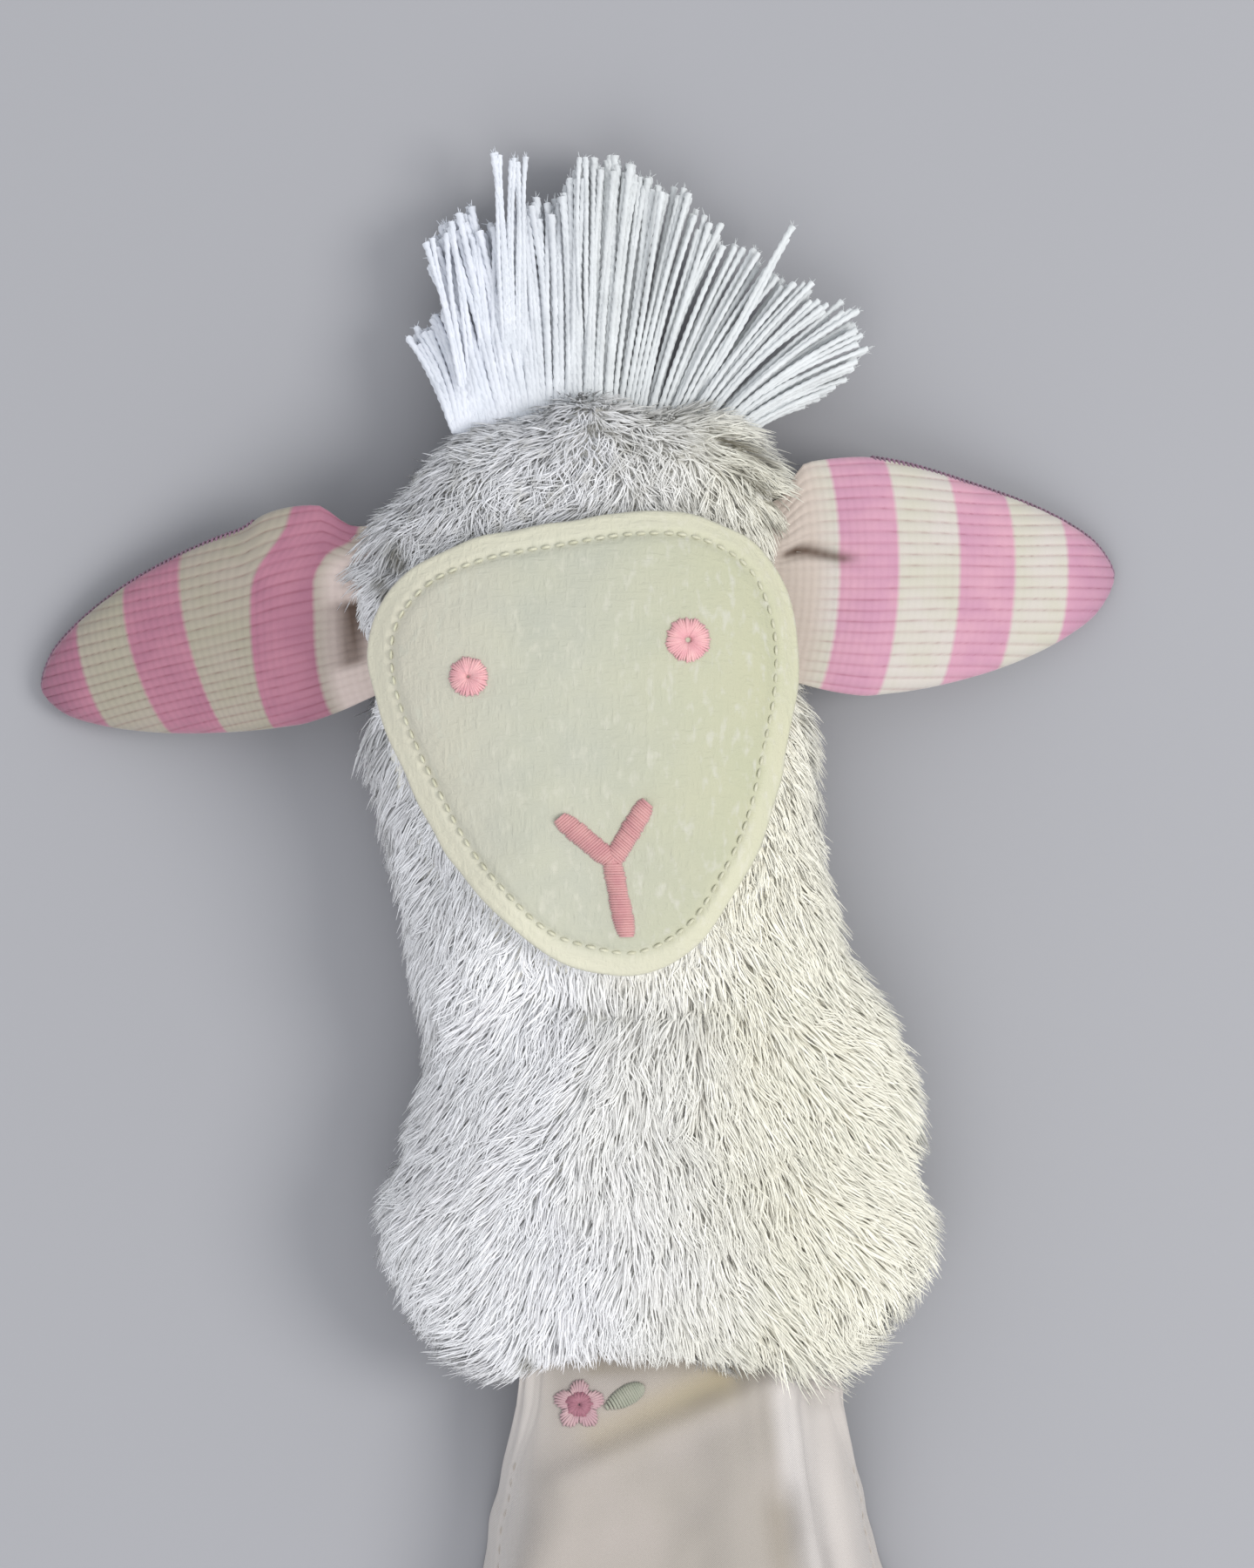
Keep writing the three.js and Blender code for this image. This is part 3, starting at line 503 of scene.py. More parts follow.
# Flower and leaf
CLOTH_SEARCH = (30, 15)
FLOWER_SHIFT = (0.3, 3.4)
FLOWER_TURN = 0.3
PETALS = 5
PETAL_THREADS = 9
PETAL_HALF_ANGLE = 0.52
PETAL_START = 1.7
PETAL_REACH = 4.1
PETAL_ROUNDING = 0.28
PETAL_RISE = 0.5
HEART_HOLE = 0.25
HEART_RADIUS = 2.1
HEART_RISE = 0.75
LEAF_SHIFT = (0.2, 4.6)
LEAF_HALF_LENGTH = 3.6
LEAF_HALF_WIDTH = 1.5
LEAF_END_HALF_WIDTH = 0.15
LEAF_SLANT = 0.5
LEAF_THREADS = 17
LEAF_RISE = 0.5
LEAF_ANGLE = 0.52

# Where the finishes and the painted light change, from one place along X or Y to another. The
# cool-to-warm ramps are painted light, cool from the left and warm from the right, and the felt is
# painted lighter towards its left
PILE_PAINTED_LIGHT_COOL_TO_WARM = (-22, 16)
CROWN_MATTING = (96, 106)
FELT_PAINTED_LIGHT_COOL_TO_WARM = (-12, 22)
FELT_PAINTED_LIGHT = (-20, -42)
YARN_PAINTED_LIGHT_COOL_TO_WARM = (-28, -8)

# Stage, with each lamp's place and size in metres, its power and its tone
FLOOR_REACH = 4000
FLOOR_SINK = 0.05
FLOOR_TONE = (156, 156, 160)
SKY_TONE = (0.93, 0.96, 1.0, 1)
SKY_STRENGTH = 0.9
LAMP_TARGET = (0, 0.06, 0)
LAMPS = {
    "key": ((1.0, 0.0, 1.1), 0.7, 11.5, (1.0, 0.985, 0.96)),
    "low_fill": ((-0.2, -0.8, 1.3), 1.3, 6, (1.0, 0.98, 0.98)),
}

rng = np.random.default_rng(7)


# Small maths

def lerp(a, b, t):
    return a + (b - a) * t


def smoothstep(x, low, high):
    t = np.clip((x - low) / (high - low), 0, 1)
    return t * t * (3 - 2 * t)


def unit(v):
    return v / np.maximum(np.linalg.norm(v, axis=-1, keepdims=True), 1e-9)


def catmull(points, count, closed=False):
    """count points along a centripetal curve through points, evenly by segment."""
    p = np.asarray(points, float)
    n = len(p)
    if closed:
        ring = np.vstack([p[-1:], p, p[:2]])
        spans = n
    else:
        ring = np.vstack([2 * p[0] - p[1], p, 2 * p[-1] - p[-2]])
        spans = n - 1
    at = np.linspace(0, spans, count, endpoint=not closed)
    k = np.minimum(at.astype(int), spans - 1)
    t = (at - k)[:, None]
    p0, p1, p2, p3 = (ring[k + i] for i in range(4))
    d0, d1, d2 = (np.linalg.norm(b - a, axis=1, keepdims=True) ** 0.5
                  for a, b in ((p0, p1), (p1, p2), (p2, p3)))
    m1 = d1 * ((p1 - p0) / d0 - (p2 - p0) / (d0 + d1) + (p2 - p1) / d1)
    m2 = d1 * ((p2 - p1) / d1 - (p3 - p1) / (d1 + d2) + (p3 - p2) / d2)
    return (
        p1 * (2 * t**3 - 3 * t**2 + 1) + m1 * (t**3 - 2 * t**2 + t)
        + p2 * (3 * t**2 - 2 * t**3) + m2 * (t**3 - t**2)
    )


def run_along(points):
    """The way along a path to each of its points."""
    return np.concatenate([[0], np.cumsum(np.linalg.norm(np.diff(points, axis=0), axis=1))])


def at_places(places, run, points):
    """The points at places along a path whose points lie at run."""
    return np.stack([np.interp(places, run, axis) for axis in points.T], -1)


def bend_ends(start, end):
    """Where a bend starts and ends, in metres."""
    return tuple(start * MM), tuple(end * MM)


def with_mirror(half, flip=(-1, 1)):
    """An outline from the half of it that runs between two points of its middle line."""
    back = [(x * flip[0], y * flip[1]) for x, y in half[-2:0:-1]]
    return list(half) + back


def polar_outline(points):
    """The radius by angle of a smooth closed outline about 0, 0."""
    loop = catmull(points, OUTLINE_STEPS, closed=True)
    angle = np.arctan2(loop[:, 1], loop[:, 0])
    order = np.argsort(angle)
    radius = np.hypot(loop[:, 0], loop[:, 1])[order]
    return lambda a: np.interp(a, angle[order], radius, period=2 * np.pi)


def shifted(x=0, y=0, z=0):
    m = np.eye(4)
    m[:3, 3] = (x, y, z)
    return m


def turned(axis, degrees):
    c, s = math.cos(math.radians(degrees)), math.sin(math.radians(degrees))
    m = np.eye(4)
    i, j = {"x": (1, 2), "y": (2, 0), "z": (0, 1)}[axis]
    m[i, i], m[j, j], m[i, j], m[j, i] = c, c, -s, s
    return m


def moved(matrix, points):
    return points @ matrix[:3, :3].T + matrix[:3, 3]


def wobble(points, size, seed=0):
    """A smooth value from about -1 to 1 that varies over size."""
    q = np.asarray(points) / size + seed * 3.7
    x, y = q[..., 0], q[..., 1]
    z = q[..., 2] if q.shape[-1] > 2 else 0 * x
    waves = (
        np.sin(2.1 * x + 1.3 * y + 0.7 * z + 0.9 * np.sin(1.1 * y - 0.6 * z))
        + np.sin(-1.2 * x + 2.4 * y + 1.1 * z + 0.8 * np.sin(1.7 * x))
        + np.sin(0.9 * x - 0.8 * y + 2.3 * z + 1.9)
    )
    return waves / 3


def ridge(points, start, end, width, fade=0.0):
    """1 on the line from start to end, seen from above, falling to 0 over width.

    fade is how much of it is lost by the line's end.
    """
    a, b = np.array(start, float), np.array(end, float)
    along = b - a
    t = np.clip(((points[..., :2] - a) @ along) / (along @ along), 0, 1)
    gap = np.linalg.norm(points[..., :2] - (a + t[..., None] * along), axis=-1)
    return np.exp(-((gap / width) ** 2)) * (1 - fade * t)


# Meshes

def make(name, points, faces, material, values=None, uv=None, normals=None):
    """A mesh object. faces is a list of arrays, each with one face of three or more corners a row."""
    corners = np.concatenate([f.ravel() for f in faces])
    sizes = np.concatenate([np.full(len(f), f.shape[1]) for f in faces])
    starts = np.concatenate([[0], np.cumsum(sizes)[:-1]])
    mesh = bpy.data.meshes.new(name)
    mesh.vertices.add(len(points))
    mesh.vertices.foreach_set("co", (np.asarray(points) * MM).astype(np.float32).ravel())
    mesh.loops.add(len(corners))
    mesh.loops.foreach_set("vertex_index", corners.astype(np.int32))
    mesh.polygons.add(len(sizes))
    mesh.polygons.foreach_set("loop_start", starts.astype(np.int32))
    mesh.polygons.foreach_set("use_smooth", np.full(len(sizes), True))
    for key, value in (values or {}).items():
        layer = mesh.attributes.new(key, "FLOAT", "POINT")
        layer.data.foreach_set("value", np.asarray(value, np.float32).ravel())
    if uv is not None:
        mesh.uv_layers.new(name="OFBake").data.foreach_set("uv", uv.astype(np.float32).ravel())
    mesh.update(calc_edges=True)
    mesh.validate()
    if normals is not None:
        mesh.normals_split_custom_set_from_vertices(normals.astype(np.float32))
    obj = bpy.data.objects.new(name, mesh)
    bpy.context.scene.collection.objects.link(obj)
    mesh.materials.append(material)
    return obj


def grid_faces(rows, columns, closed=False, start=0, flip=False):
    """Quads over rows of points; closed joins each row's last point to its first."""
    r = np.arange(rows - 1)[:, None] * columns
    c = np.arange(columns if closed else columns - 1)[None, :]
    n = (c + 1) % columns
    quads = np.stack([r + c, r + n, r + n + columns, r + c + columns], -1).reshape(-1, 4) + start
    return quads[:, ::-1] if flip else quads


def loft(rings):
    """A closed tube of rings, (count, sides, 3), with its two ends capped."""
    count, sides = rings.shape[:2]
    first = np.arange(sides)[None, ::-1]
    last = np.arange(sides)[None, :] + (count - 1) * sides
    return rings.reshape(-1, 3), [grid_faces(count, sides, closed=True), first, last]


def tubes(paths, radii, sides, twist=None, lobes=0.0, reference=None):
    """Many closed tubes: paths is (count, steps, 3) and radii (count, steps)."""
    count, steps = paths.shape[:2]
    tangent = unit(np.gradient(paths, axis=1))
    if reference is None:
        reference = np.array([0.13, 0.21, 1.0])
    reference = np.broadcast_to(np.asarray(reference, float), (count, 3))[:, None, :]
    across = unit(np.cross(tangent, np.broadcast_to(reference, tangent.shape)))
    rise = np.cross(across, tangent)
    angle = 2 * np.pi * (np.arange(sides) + 0.5) / sides
    swell = radii[..., None] * (1 + lobes * np.cos(2 * angle))
    turn = angle + (0 if twist is None else twist[..., None])
    cos, sin = np.cos(turn) * swell, np.sin(turn) * swell
    ring = paths[:, :, None] + cos[..., None] * across[:, :, None] + sin[..., None] * rise[:, :, None]
    per = steps * sides
    base = (np.arange(count) * per)[:, None, None]
    quads = (base + grid_faces(steps, sides, closed=True, flip=True)[None]).reshape(-1, 4)
    starts = (base[:, :, 0] + np.arange(sides)[None]).reshape(-1, sides)
    ends = (base[:, :, 0] + per - sides + np.arange(sides)[None, ::-1]).reshape(-1, sides)
    return ring.reshape(-1, 3), [quads, starts, ends]


def softened_normals(points, paths, sides, soft, share):
    """The normals of tubes along paths, drawn by share towards soft."""
    middles = np.repeat(paths.reshape(-1, 3), sides, 0)
    return unit(lerp(unit(points - middles), soft, share))


def tube_uv(count, steps, sides):
    """A cell of the unit square for each tube, with its faces unrolled in it."""
    across = math.ceil(math.sqrt(count))
    cell = np.stack([np.arange(count) % across, np.arange(count) // across], -1) / across
    j, k = np.meshgrid(np.arange(steps - 1), np.arange(sides), indexing="ij")
    corner = np.stack([
        np.stack([(k + dk) / sides, (j + dj) / (steps - 1)], -1)
        for dj, dk in ((1, 0), (1, 1), (0, 1), (0, 0))
    ], 2).reshape(-1, 2)
    turn = np.arange(sides) / sides
    cap = np.stack([turn, 0.04 * np.sin(np.pi * turn)], -1)
    size = 0.9 / across
    quads = (cell[:, None] + corner[None] * size).reshape(-1, 2)
    starts = (cell[:, None] + cap[None] * size).reshape(-1, 2)
    ends = (cell[:, None] + (cap[None, ::-1] + (0, 0.95)) * size).reshape(-1, 2)
    return np.concatenate([quads, starts, ends])


def make_threads(name, paths, radii, sides, material):
    """Threads along paths, (count, steps, 3), as closed tubes."""
    count, steps = paths.shape[:2]
    points, faces = tubes(paths, np.broadcast_to(radii, (count, steps)), sides)
    return make(name, points, faces, material, uv=tube_uv(count, steps, sides))


def evaluated(obj):
    """obj's mesh with its modifiers applied, kept on obj."""
    graph = bpy.context.evaluated_depsgraph_get()
    mesh = bpy.data.meshes.new_from_object(obj.evaluated_get(graph))
    obj.modifiers.clear()
    obj.data = mesh
    return mesh


def mesh_points(mesh):
    co = np.empty(len(mesh.vertices) * 3, np.float32)
    mesh.vertices.foreach_get("co", co)
    return co.reshape(-1, 3).astype(float) / MM


def mesh_normals(mesh):
    normals = np.empty(len(mesh.vertices) * 3, np.float32)
    mesh.vertices.foreach_get("normal", normals)
    return normals.reshape(-1, 3).astype(float)


# Node groups

def node_group(name, inputs, outputs):
    """A shader node group with its inputs and outputs, each (name, socket type, value)."""
    group = bpy.data.node_groups.new(name, "ShaderNodeTree")
    for label, kind, value in inputs:
        socket = group.interface.new_socket(label, in_out="INPUT", socket_type=kind)
        socket.default_value = value
    for label, kind in outputs:
        group.interface.new_socket(label, in_out="OUTPUT", socket_type=kind)
    return group, group.nodes.new("NodeGroupInput"), group.nodes.new("NodeGroupOutput")


def noise_node(tree, coordinates, scale, detail=4.0, stretch=(1, 1, 1)):
    """A noise texture whose scale is in repeats per metre."""
    mapping = tree.nodes.new("ShaderNodeMapping")
    mapping.inputs["Scale"].default_value = stretch
    tree.links.new(coordinates, mapping.inputs["Vector"])
    noise = tree.nodes.new("ShaderNodeTexNoise")
    tree.links.new(mapping.outputs[0], noise.inputs["Vector"])
    if hasattr(scale, "is_linked"):
        tree.links.new(scale, noise.inputs["Scale"])
    else:
        noise.inputs["Scale"].default_value = scale
    noise.inputs["Detail"].default_value = detail
    return noise.outputs[0]


def math_node(tree, operation, a, b=None, c=None):
    node = tree.nodes.new("ShaderNodeMath")
    node.operation = operation
    for socket, value in zip(node.inputs, (a, b, c)):
        if hasattr(value, "is_linked"):
            tree.links.new(value, socket)
        elif value is not None:
            socket.default_value = value
    return node.outputs[0]


def mix_node(tree, factor, a, b, blend="MIX"):
    node = tree.nodes.new("ShaderNodeMix")
    node.data_type = "RGBA"
    node.blend_type = blend
    for key, value in ((0, factor), (6, a), (7, b)):
        if hasattr(value, "is_linked"):
            tree.links.new(value, node.inputs[key])
        else:
            node.inputs[key].default_value = value
    return node.outputs[2]


def ramp_node(tree, value, low, high):
    """value stretched so that low becomes 0 and high 1."""
    node = tree.nodes.new("ShaderNodeMapRange")
    tree.links.new(value, node.inputs["Value"])
    node.inputs["From Min"].default_value = low
    node.inputs["From Max"].default_value = high
    return node.outputs[0]


def place_nodes(tree):
    """A point's place in metres, and the same as its X, Y and Z."""
    place = tree.nodes.new("ShaderNodeTexCoord").outputs["Object"]
    parts = tree.nodes.new("ShaderNodeSeparateXYZ")
    tree.links.new(place, parts.inputs[0])
    return place, parts.outputs


def place_ramp(tree, place, ends):
    """0 to 1 between two places given in millimetres."""
    return ramp_node(tree, place, ends[0] * MM, ends[1] * MM)


def uneven_tones_group():
    """Two tones in soft blotches: a dye's own two tones, or tones with painted light or shade in them.
    """
    group, given, out = node_group(
        "uneven_tones",
        [("Tone A", "NodeSocketColor", (1, 1, 1, 1)), ("Tone B", "NodeSocketColor", (1, 1, 1, 1)),
         ("Blotches", "NodeSocketFloat", 60.0)],
        [("Color", "NodeSocketColor")],
    )
    place, _ = place_nodes(group)
    noise = noise_node(group, place, given.outputs["Blotches"], detail=6)
    share = ramp_node(group, noise, 0.35, 0.65)
    color = mix_node(group, share, given.outputs["Tone A"], given.outputs["Tone B"])
    group.links.new(color, out.inputs["Color"])
    return group


def fibre_group():
    """A height of fine matted fibres."""
    group, given, out = node_group(
        "matted_fibres", [("Fibres", "NodeSocketFloat", 900.0)], [("Height", "NodeSocketFloat")]
    )
    place, _ = place_nodes(group)
    one = noise_node(group, place, given.outputs["Fibres"], 5, (1, 0.25, 1))
    two = noise_node(group, place, given.outputs["Fibres"], 5, (0.25, 1, 1))
    group.links.new(math_node(group, "MAXIMUM", one, two), out.inputs["Height"])
    return group


def weave_group():
    """A height of threads that pass over and under each other."""
    group, given, out = node_group(
        "plain_weave", [("Threads", "NodeSocketFloat", 2600.0)], [("Height", "NodeSocketFloat")]
    )
    place, parts = place_nodes(group)
    waves = []
    for axis in ("X", "Y"):
        turns = math_node(group, "MULTIPLY", parts[axis], given.outputs["Threads"])
        waves.append(math_node(group, "SINE", turns))
    both = math_node(group, "MULTIPLY", *waves)
    slub = noise_node(group, place, 300.0, 3, (1, 0.15, 1))
    group.links.new(math_node(group, "ADD", both, slub), out.inputs["Height"])
    return group


TWO_TONE_BLOTCHES = uneven_tones_group()
FIBRES = fibre_group()
WEAVE = weave_group()


# Materials

WHITE = (1, 1, 1, 1)


def linear(r, g, b):
    """A colour given in 0 to 255 as it looks on screen."""
    def channel(v):
        v /= 255
        return v / 12.92 if v <= 0.04045 else ((v + 0.055) / 1.055) ** 2.4
    return (channel(r), channel(g), channel(b), 1)


def finish(name, roughness, sheen=0.0, sheen_roughness=0.5):
    """A material with its Principled node, and the constants set on its sockets."""
    material = bpy.data.materials.new(name)
    material.use_nodes = True
    shader = material.node_tree.nodes["Principled BSDF"]
    shader.inputs["Roughness"].default_value = roughness
    shader.inputs["Specular IOR Level"].default_value = 0.25
    shader.inputs["Sheen Weight"].default_value = sheen
    shader.inputs["Sheen Roughness"].default_value = sheen_roughness
    return material, material.node_tree, shader


def add_group(tree, group, **values):
    node = tree.nodes.new("ShaderNodeGroup")
    node.node_tree = group
    for key, value in values.items():
        node.inputs[key.replace("_", " ")].default_value = value
    return node.outputs[0]


def blotched_tones(tree, tone_a, tone_b, blotches):
    """Two tones in soft blotches, each given in 0 to 255 as it looks on screen: a dye's own tones, or
    tones with painted light or shade in them where the caller says so.
    """
    return add_group(tree, TWO_TONE_BLOTCHES, Tone_A=linear(*tone_a), Tone_B=linear(*tone_b), Blotches=blotches)


def multiplied(tree, color, shade):
    return mix_node(tree, 1.0, color, shade, "MULTIPLY")


def add_bump(tree, shader, height, distance, strength=1.0):
    bump = tree.nodes.new("ShaderNodeBump")
    bump.inputs["Distance"].default_value = distance * MM
    bump.inputs["Strength"].default_value = strength
    tree.links.new(height, bump.inputs["Height"])
    tree.links.new(bump.outputs[0], shader.inputs["Normal"])


def add_attribute(tree, name):
    node = tree.nodes.new("ShaderNodeAttribute")
    node.attribute_name = name
    return node.outputs["Fac"]


def fur_material():
    """Off-white pile, painted with light: cooler to the left and warmer to the right as the light
    falls, and darker at the roots.
    """
    material, tree, shader = finish("plush_pile", 0.85, sheen=0.5)
    place, parts = place_nodes(tree)
    drift = math_node(tree, "MULTIPLY_ADD", noise_node(tree, place, 26.0, 3), 0.05, -0.03)
    # Painted light: cool where the light comes from the left, warm where it comes from the right
    side = place_ramp(tree, math_node(tree, "ADD", parts["X"], drift), PILE_PAINTED_LIGHT_COOL_TO_WARM)
    tips = mix_node(tree, side, linear(250, 250, 253), linear(246, 243, 228))
    roots = mix_node(tree, side, linear(238, 239, 241), linear(238, 233, 214))
    along = ramp_node(tree, add_attribute(tree, "along"), 0.05, 0.55)
    color = mix_node(tree, along, roots, tips)
    tone_and_painted_shadow = ramp_node(tree, add_attribute(tree, "tone_and_painted_shadow"), -0.35, 1.0)
    color = multiplied(tree, color, mix_node(tree, tone_and_painted_shadow, linear(232, 232, 230), WHITE))
    # Painted shadow: strands darkened where gaps in the pile fall in shade
    gap = ramp_node(tree, add_attribute(tree, "tone_and_painted_shadow"), -0.4, -2.4)
    color = mix_node(tree, gap, color, linear(106, 101, 86))
    matted = noise_node(tree, place, 420.0, 2, (1, 0.6, 1))
    matted = math_node(tree, "MULTIPLY", ramp_node(tree, matted, 0.52, 0.7), 0.4)
    matted = math_node(tree, "MULTIPLY", matted, place_ramp(tree, parts["Y"], CROWN_MATTING))
    color = mix_node(tree, matted, color, linear(168, 164, 148))
    tree.links.new(color, shader.inputs["Base Color"])
    return material


def skin_material():
    """The knitted backing that the pile grows from."""
    material, tree, shader = finish("plush_backing", 0.95)
    color = blotched_tones(tree, (240, 238, 230), (228, 226, 220), 180.0)
    tree.links.new(color, shader.inputs["Base Color"])
    add_bump(tree, shader, add_group(tree, FIBRES, Fibres=1400.0), 0.5)
    return material


def felt_material():
    material, tree, shader = finish("cream_felt", 0.95, sheen=0.2)
    place, parts = place_nodes(tree)
    base = blotched_tones(tree, (180, 180, 163), (175, 176, 162), 95.0)
    warm = blotched_tones(tree, (180, 179, 150), (175, 176, 147), 120.0)
    # Painted light: the felt warmer to the right, where the warm light falls
    side = place_ramp(tree, parts["X"], FELT_PAINTED_LIGHT_COOL_TO_WARM)
    color = mix_node(tree, side, base, warm)
    # Painted light: the felt lighter towards its left edge
    painted_light_left = math_node(tree, "MULTIPLY", place_ramp(tree, parts["X"], FELT_PAINTED_LIGHT), 0.7)
    color = mix_node(tree, painted_light_left, color, linear(197, 191, 176))
    flecks = ramp_node(tree, noise_node(tree, place, 700.0, 2, (1, 0.5, 1)), 0.55, 0.75)
    color = mix_node(tree, flecks, color, linear(188, 187, 172))
    # Painted light on the felt's sloping rim, stronger towards the left
    weight = math_node(tree, "MULTIPLY_ADD", side, -0.3, 0.65)
    rim = math_node(tree, "MULTIPLY", add_attribute(tree, "rim"), weight)
    color = mix_node(tree, rim, color, linear(214, 210, 188))
    tree.links.new(color, shader.inputs["Base Color"])
    add_bump(tree, shader, add_group(tree, FIBRES, Fibres=1100.0), 0.45, 0.8)
    return material


def thread_material(name, tone_a, tone_b):
    """Dyed sewing or embroidery thread."""
    material, tree, shader = finish(name, 0.55, sheen=0.3)
    color = blotched_tones(tree, tone_a, tone_b, 420.0)
    tree.links.new(color, shader.inputs["Base Color"])
    add_bump(tree, shader, add_group(tree, FIBRES, Fibres=4200.0), 0.12, 0.7)
    return material


# Two tones of pink, two of cream and the tone at the root. The left ear's tones are painted darker with
# the shade that the head casts on it, and its root tone is painted lighter
KNIT_DYES_AND_PAINTED_SHADE = {
    "right": [(194, 147, 163), (184, 136, 157), (191, 184, 177), (186, 182, 168), (188, 175, 165)],
    "left": [(167, 113, 130), (157, 104, 123), (157, 148, 136), (153, 147, 131), (206, 190, 183)],
}


def knit_material(side):
    """Pink and cream stripes by the distance from the ear's root. The left ear's copy is painted darker
    with shade, and the knit has painted shade in its rib grooves, in its creases and towards the tip.
    """
    material, tree, shader = finish(f"striped_rib_knit_{side}", 0.8, sheen=0.3)
    pink_a, pink_b, cream_a, cream_b, root_tone = KNIT_DYES_AND_PAINTED_SHADE[side]
    pinks = blotched_tones(tree, pink_a, pink_b, 150.0)
    creams = blotched_tones(tree, cream_a, cream_b, 130.0)
    out = add_attribute(tree, "out")
    mask = None
    ends = STRIPE_ENDS[side] + [EAR_LENGTH + EAR_HALF_WIDTH]
    for start, end in zip(ends[::2], ends[1::2]):
        rising = ramp_node(tree, out, start - STRIPE_FADE, start + STRIPE_FADE)
        falling = ramp_node(tree, out, end + STRIPE_FADE, end - STRIPE_FADE)
        band = math_node(tree, "MINIMUM", rising, falling)
        mask = band if mask is None else math_node(tree, "MAXIMUM", mask, band)
    color = mix_node(tree, mask, creams, pinks)
    # Painted shade in the grooves between the ribs
    groove = ramp_node(tree, add_attribute(tree, "rib"), 0.0, 0.8)
    color = multiplied(tree, color, mix_node(tree, groove, linear(228, 210, 214), WHITE))
    # The root's tone; on the left ear it is painted lighter against the head's shade
    root = ramp_node(tree, out, -0.5, -4.0)
    color = mix_node(tree, root, color, linear(*root_tone))
    # Painted shade: the knit darker towards the tip, where it curls round the seam
    painted_tip_shade = ramp_node(tree, out, 40.0, 50.0)
    color = multiplied(tree, color, mix_node(tree, painted_tip_shade, WHITE, linear(216, 212, 222)))
    # Painted shade in the creases near the root
    color = mix_node(tree, add_attribute(tree, "crease_painted_shade"), color, linear(78, 58, 45))
    tree.links.new(color, shader.inputs["Base Color"])
    turns = math_node(tree, "MULTIPLY", out, 2 * math.pi / COURSE_PITCH)
    add_bump(tree, shader, math_node(tree, "SINE", turns), 0.05, 0.4)
    return material


def yarn_material():
    material, tree, shader = finish("twisted_cotton", 0.8, sheen=0.3)
    cool = blotched_tones(tree, (221, 224, 232), (211, 215, 223), 300.0)
    warm = blotched_tones(tree, (213, 216, 217), (202, 205, 206), 300.0)
    _, parts = place_nodes(tree)
    # Painted light: the yarns cooler to the left and warmer to the right, as the light falls
    color = mix_node(tree, place_ramp(tree, parts["X"], YARN_PAINTED_LIGHT_COOL_TO_WARM), cool, warm)
    tree.links.new(color, shader.inputs["Base Color"])
    add_bump(tree, shader, add_group(tree, FIBRES, Fibres=3000.0), 0.15, 0.7)
    return material


def cloth_material():
    """Soft woven cotton with a faint unevenness, painted lighter where light falls on its folds and
    painted with shadow under the pile and in a fold.
    """
    material, tree, shader = finish("ivory_cotton", 0.75, sheen=0.25)
    color = blotched_tones(tree, (168, 160, 154), (161, 154, 146), 45.0)
    painted_light = blotched_tones(tree, (203, 197, 193), (196, 190, 186), 60.0)
    # Painted light on the lit folds to the right and along the left edge
    color = mix_node(tree, add_attribute(tree, "painted_light_share"), color, painted_light)
    # Painted shadow, olive and grey, under the pile's hem and in a fold
    for painted_shadow, tint in PAINTED_SHADOW_TINTS.items():
        share = math_node(tree, "MULTIPLY", add_attribute(tree, painted_shadow), 0.6)
        color = mix_node(tree, share, color, linear(*tint))
    tree.links.new(color, shader.inputs["Base Color"])
    add_bump(tree, shader, add_group(tree, WEAVE, Threads=17000.0), 0.04, 0.7)
    return material


FUR = fur_material()
SKIN = skin_material()
FELT = felt_material()
# The two ears' knits are one knit, the left's painted with shade
KNITS = {side: knit_material(side) for side in STRIPE_ENDS}
YARN = yarn_material()
CLOTH = cloth_material()
NOSE_THREAD = thread_material("nose_thread", (198, 148, 146), (188, 134, 136))
EYE_THREAD = thread_material("eye_thread", (222, 172, 172), (210, 152, 158))
CREAM_THREAD = thread_material("cream_thread", (200, 198, 176), (186, 184, 160))
HEM_THREAD = thread_material("hem_thread", (178, 171, 164), (168, 160, 152))
SEAM_THREAD = thread_material("seam_thread", (140, 104, 126), (118, 96, 110))
ROSE_THREAD = thread_material("rose_thread", (158, 108, 120), (144, 92, 106))
PALE_ROSE_THREAD = thread_material("pale_rose_thread", (186, 156, 158), (176, 142, 148))
LEAF_THREAD = thread_material("leaf_thread", (156, 157, 142), (146, 150, 134))


# Stuffed forms

class Pillow:
    """An outline in the seam plane that swells to front_rise and back_rise."""

    def __init__(self, outline, front_rise, back_rise, lowest=-math.inf):
        self.outline = outline
        self.front_rise = front_rise
        self.back_rise = back_rise
        self.lowest = lowest

    def at(self, angle, dip, side, inset):
        reach = (self.outline(angle) - inset) * np.sin(dip) ** (2 / FULLNESS)
        rise = (self.front_rise if side > 0 else self.back_rise) - inset
        z = np.maximum(side * rise * np.cos(dip), self.lowest + inset)
        return np.stack([reach * np.cos(angle), reach * np.sin(angle), z + 0 * reach], -1)

    def above(self, x, y, inset):
        """The front skin above x, y."""
        angle = np.arctan2(y, x)
        share = np.minimum(np.hypot(x, y) / (self.outline(angle) - inset), 1)
        return self.at(angle, np.arcsin(share ** (FULLNESS / 2)), 1, inset)

    def rings(self, inset, sides, steps):
        """Rings from the front pole to the back one."""
        angle = 2 * np.pi * np.arange(sides) / sides
        dips = np.linspace(0.02, np.pi / 2, steps)
        front = [self.at(angle, d + 0 * angle, 1, inset) for d in dips]
        back = [self.at(angle, d + 0 * angle, -1, inset) for d in dips[-2::-1]]
        return np.array(front + back)


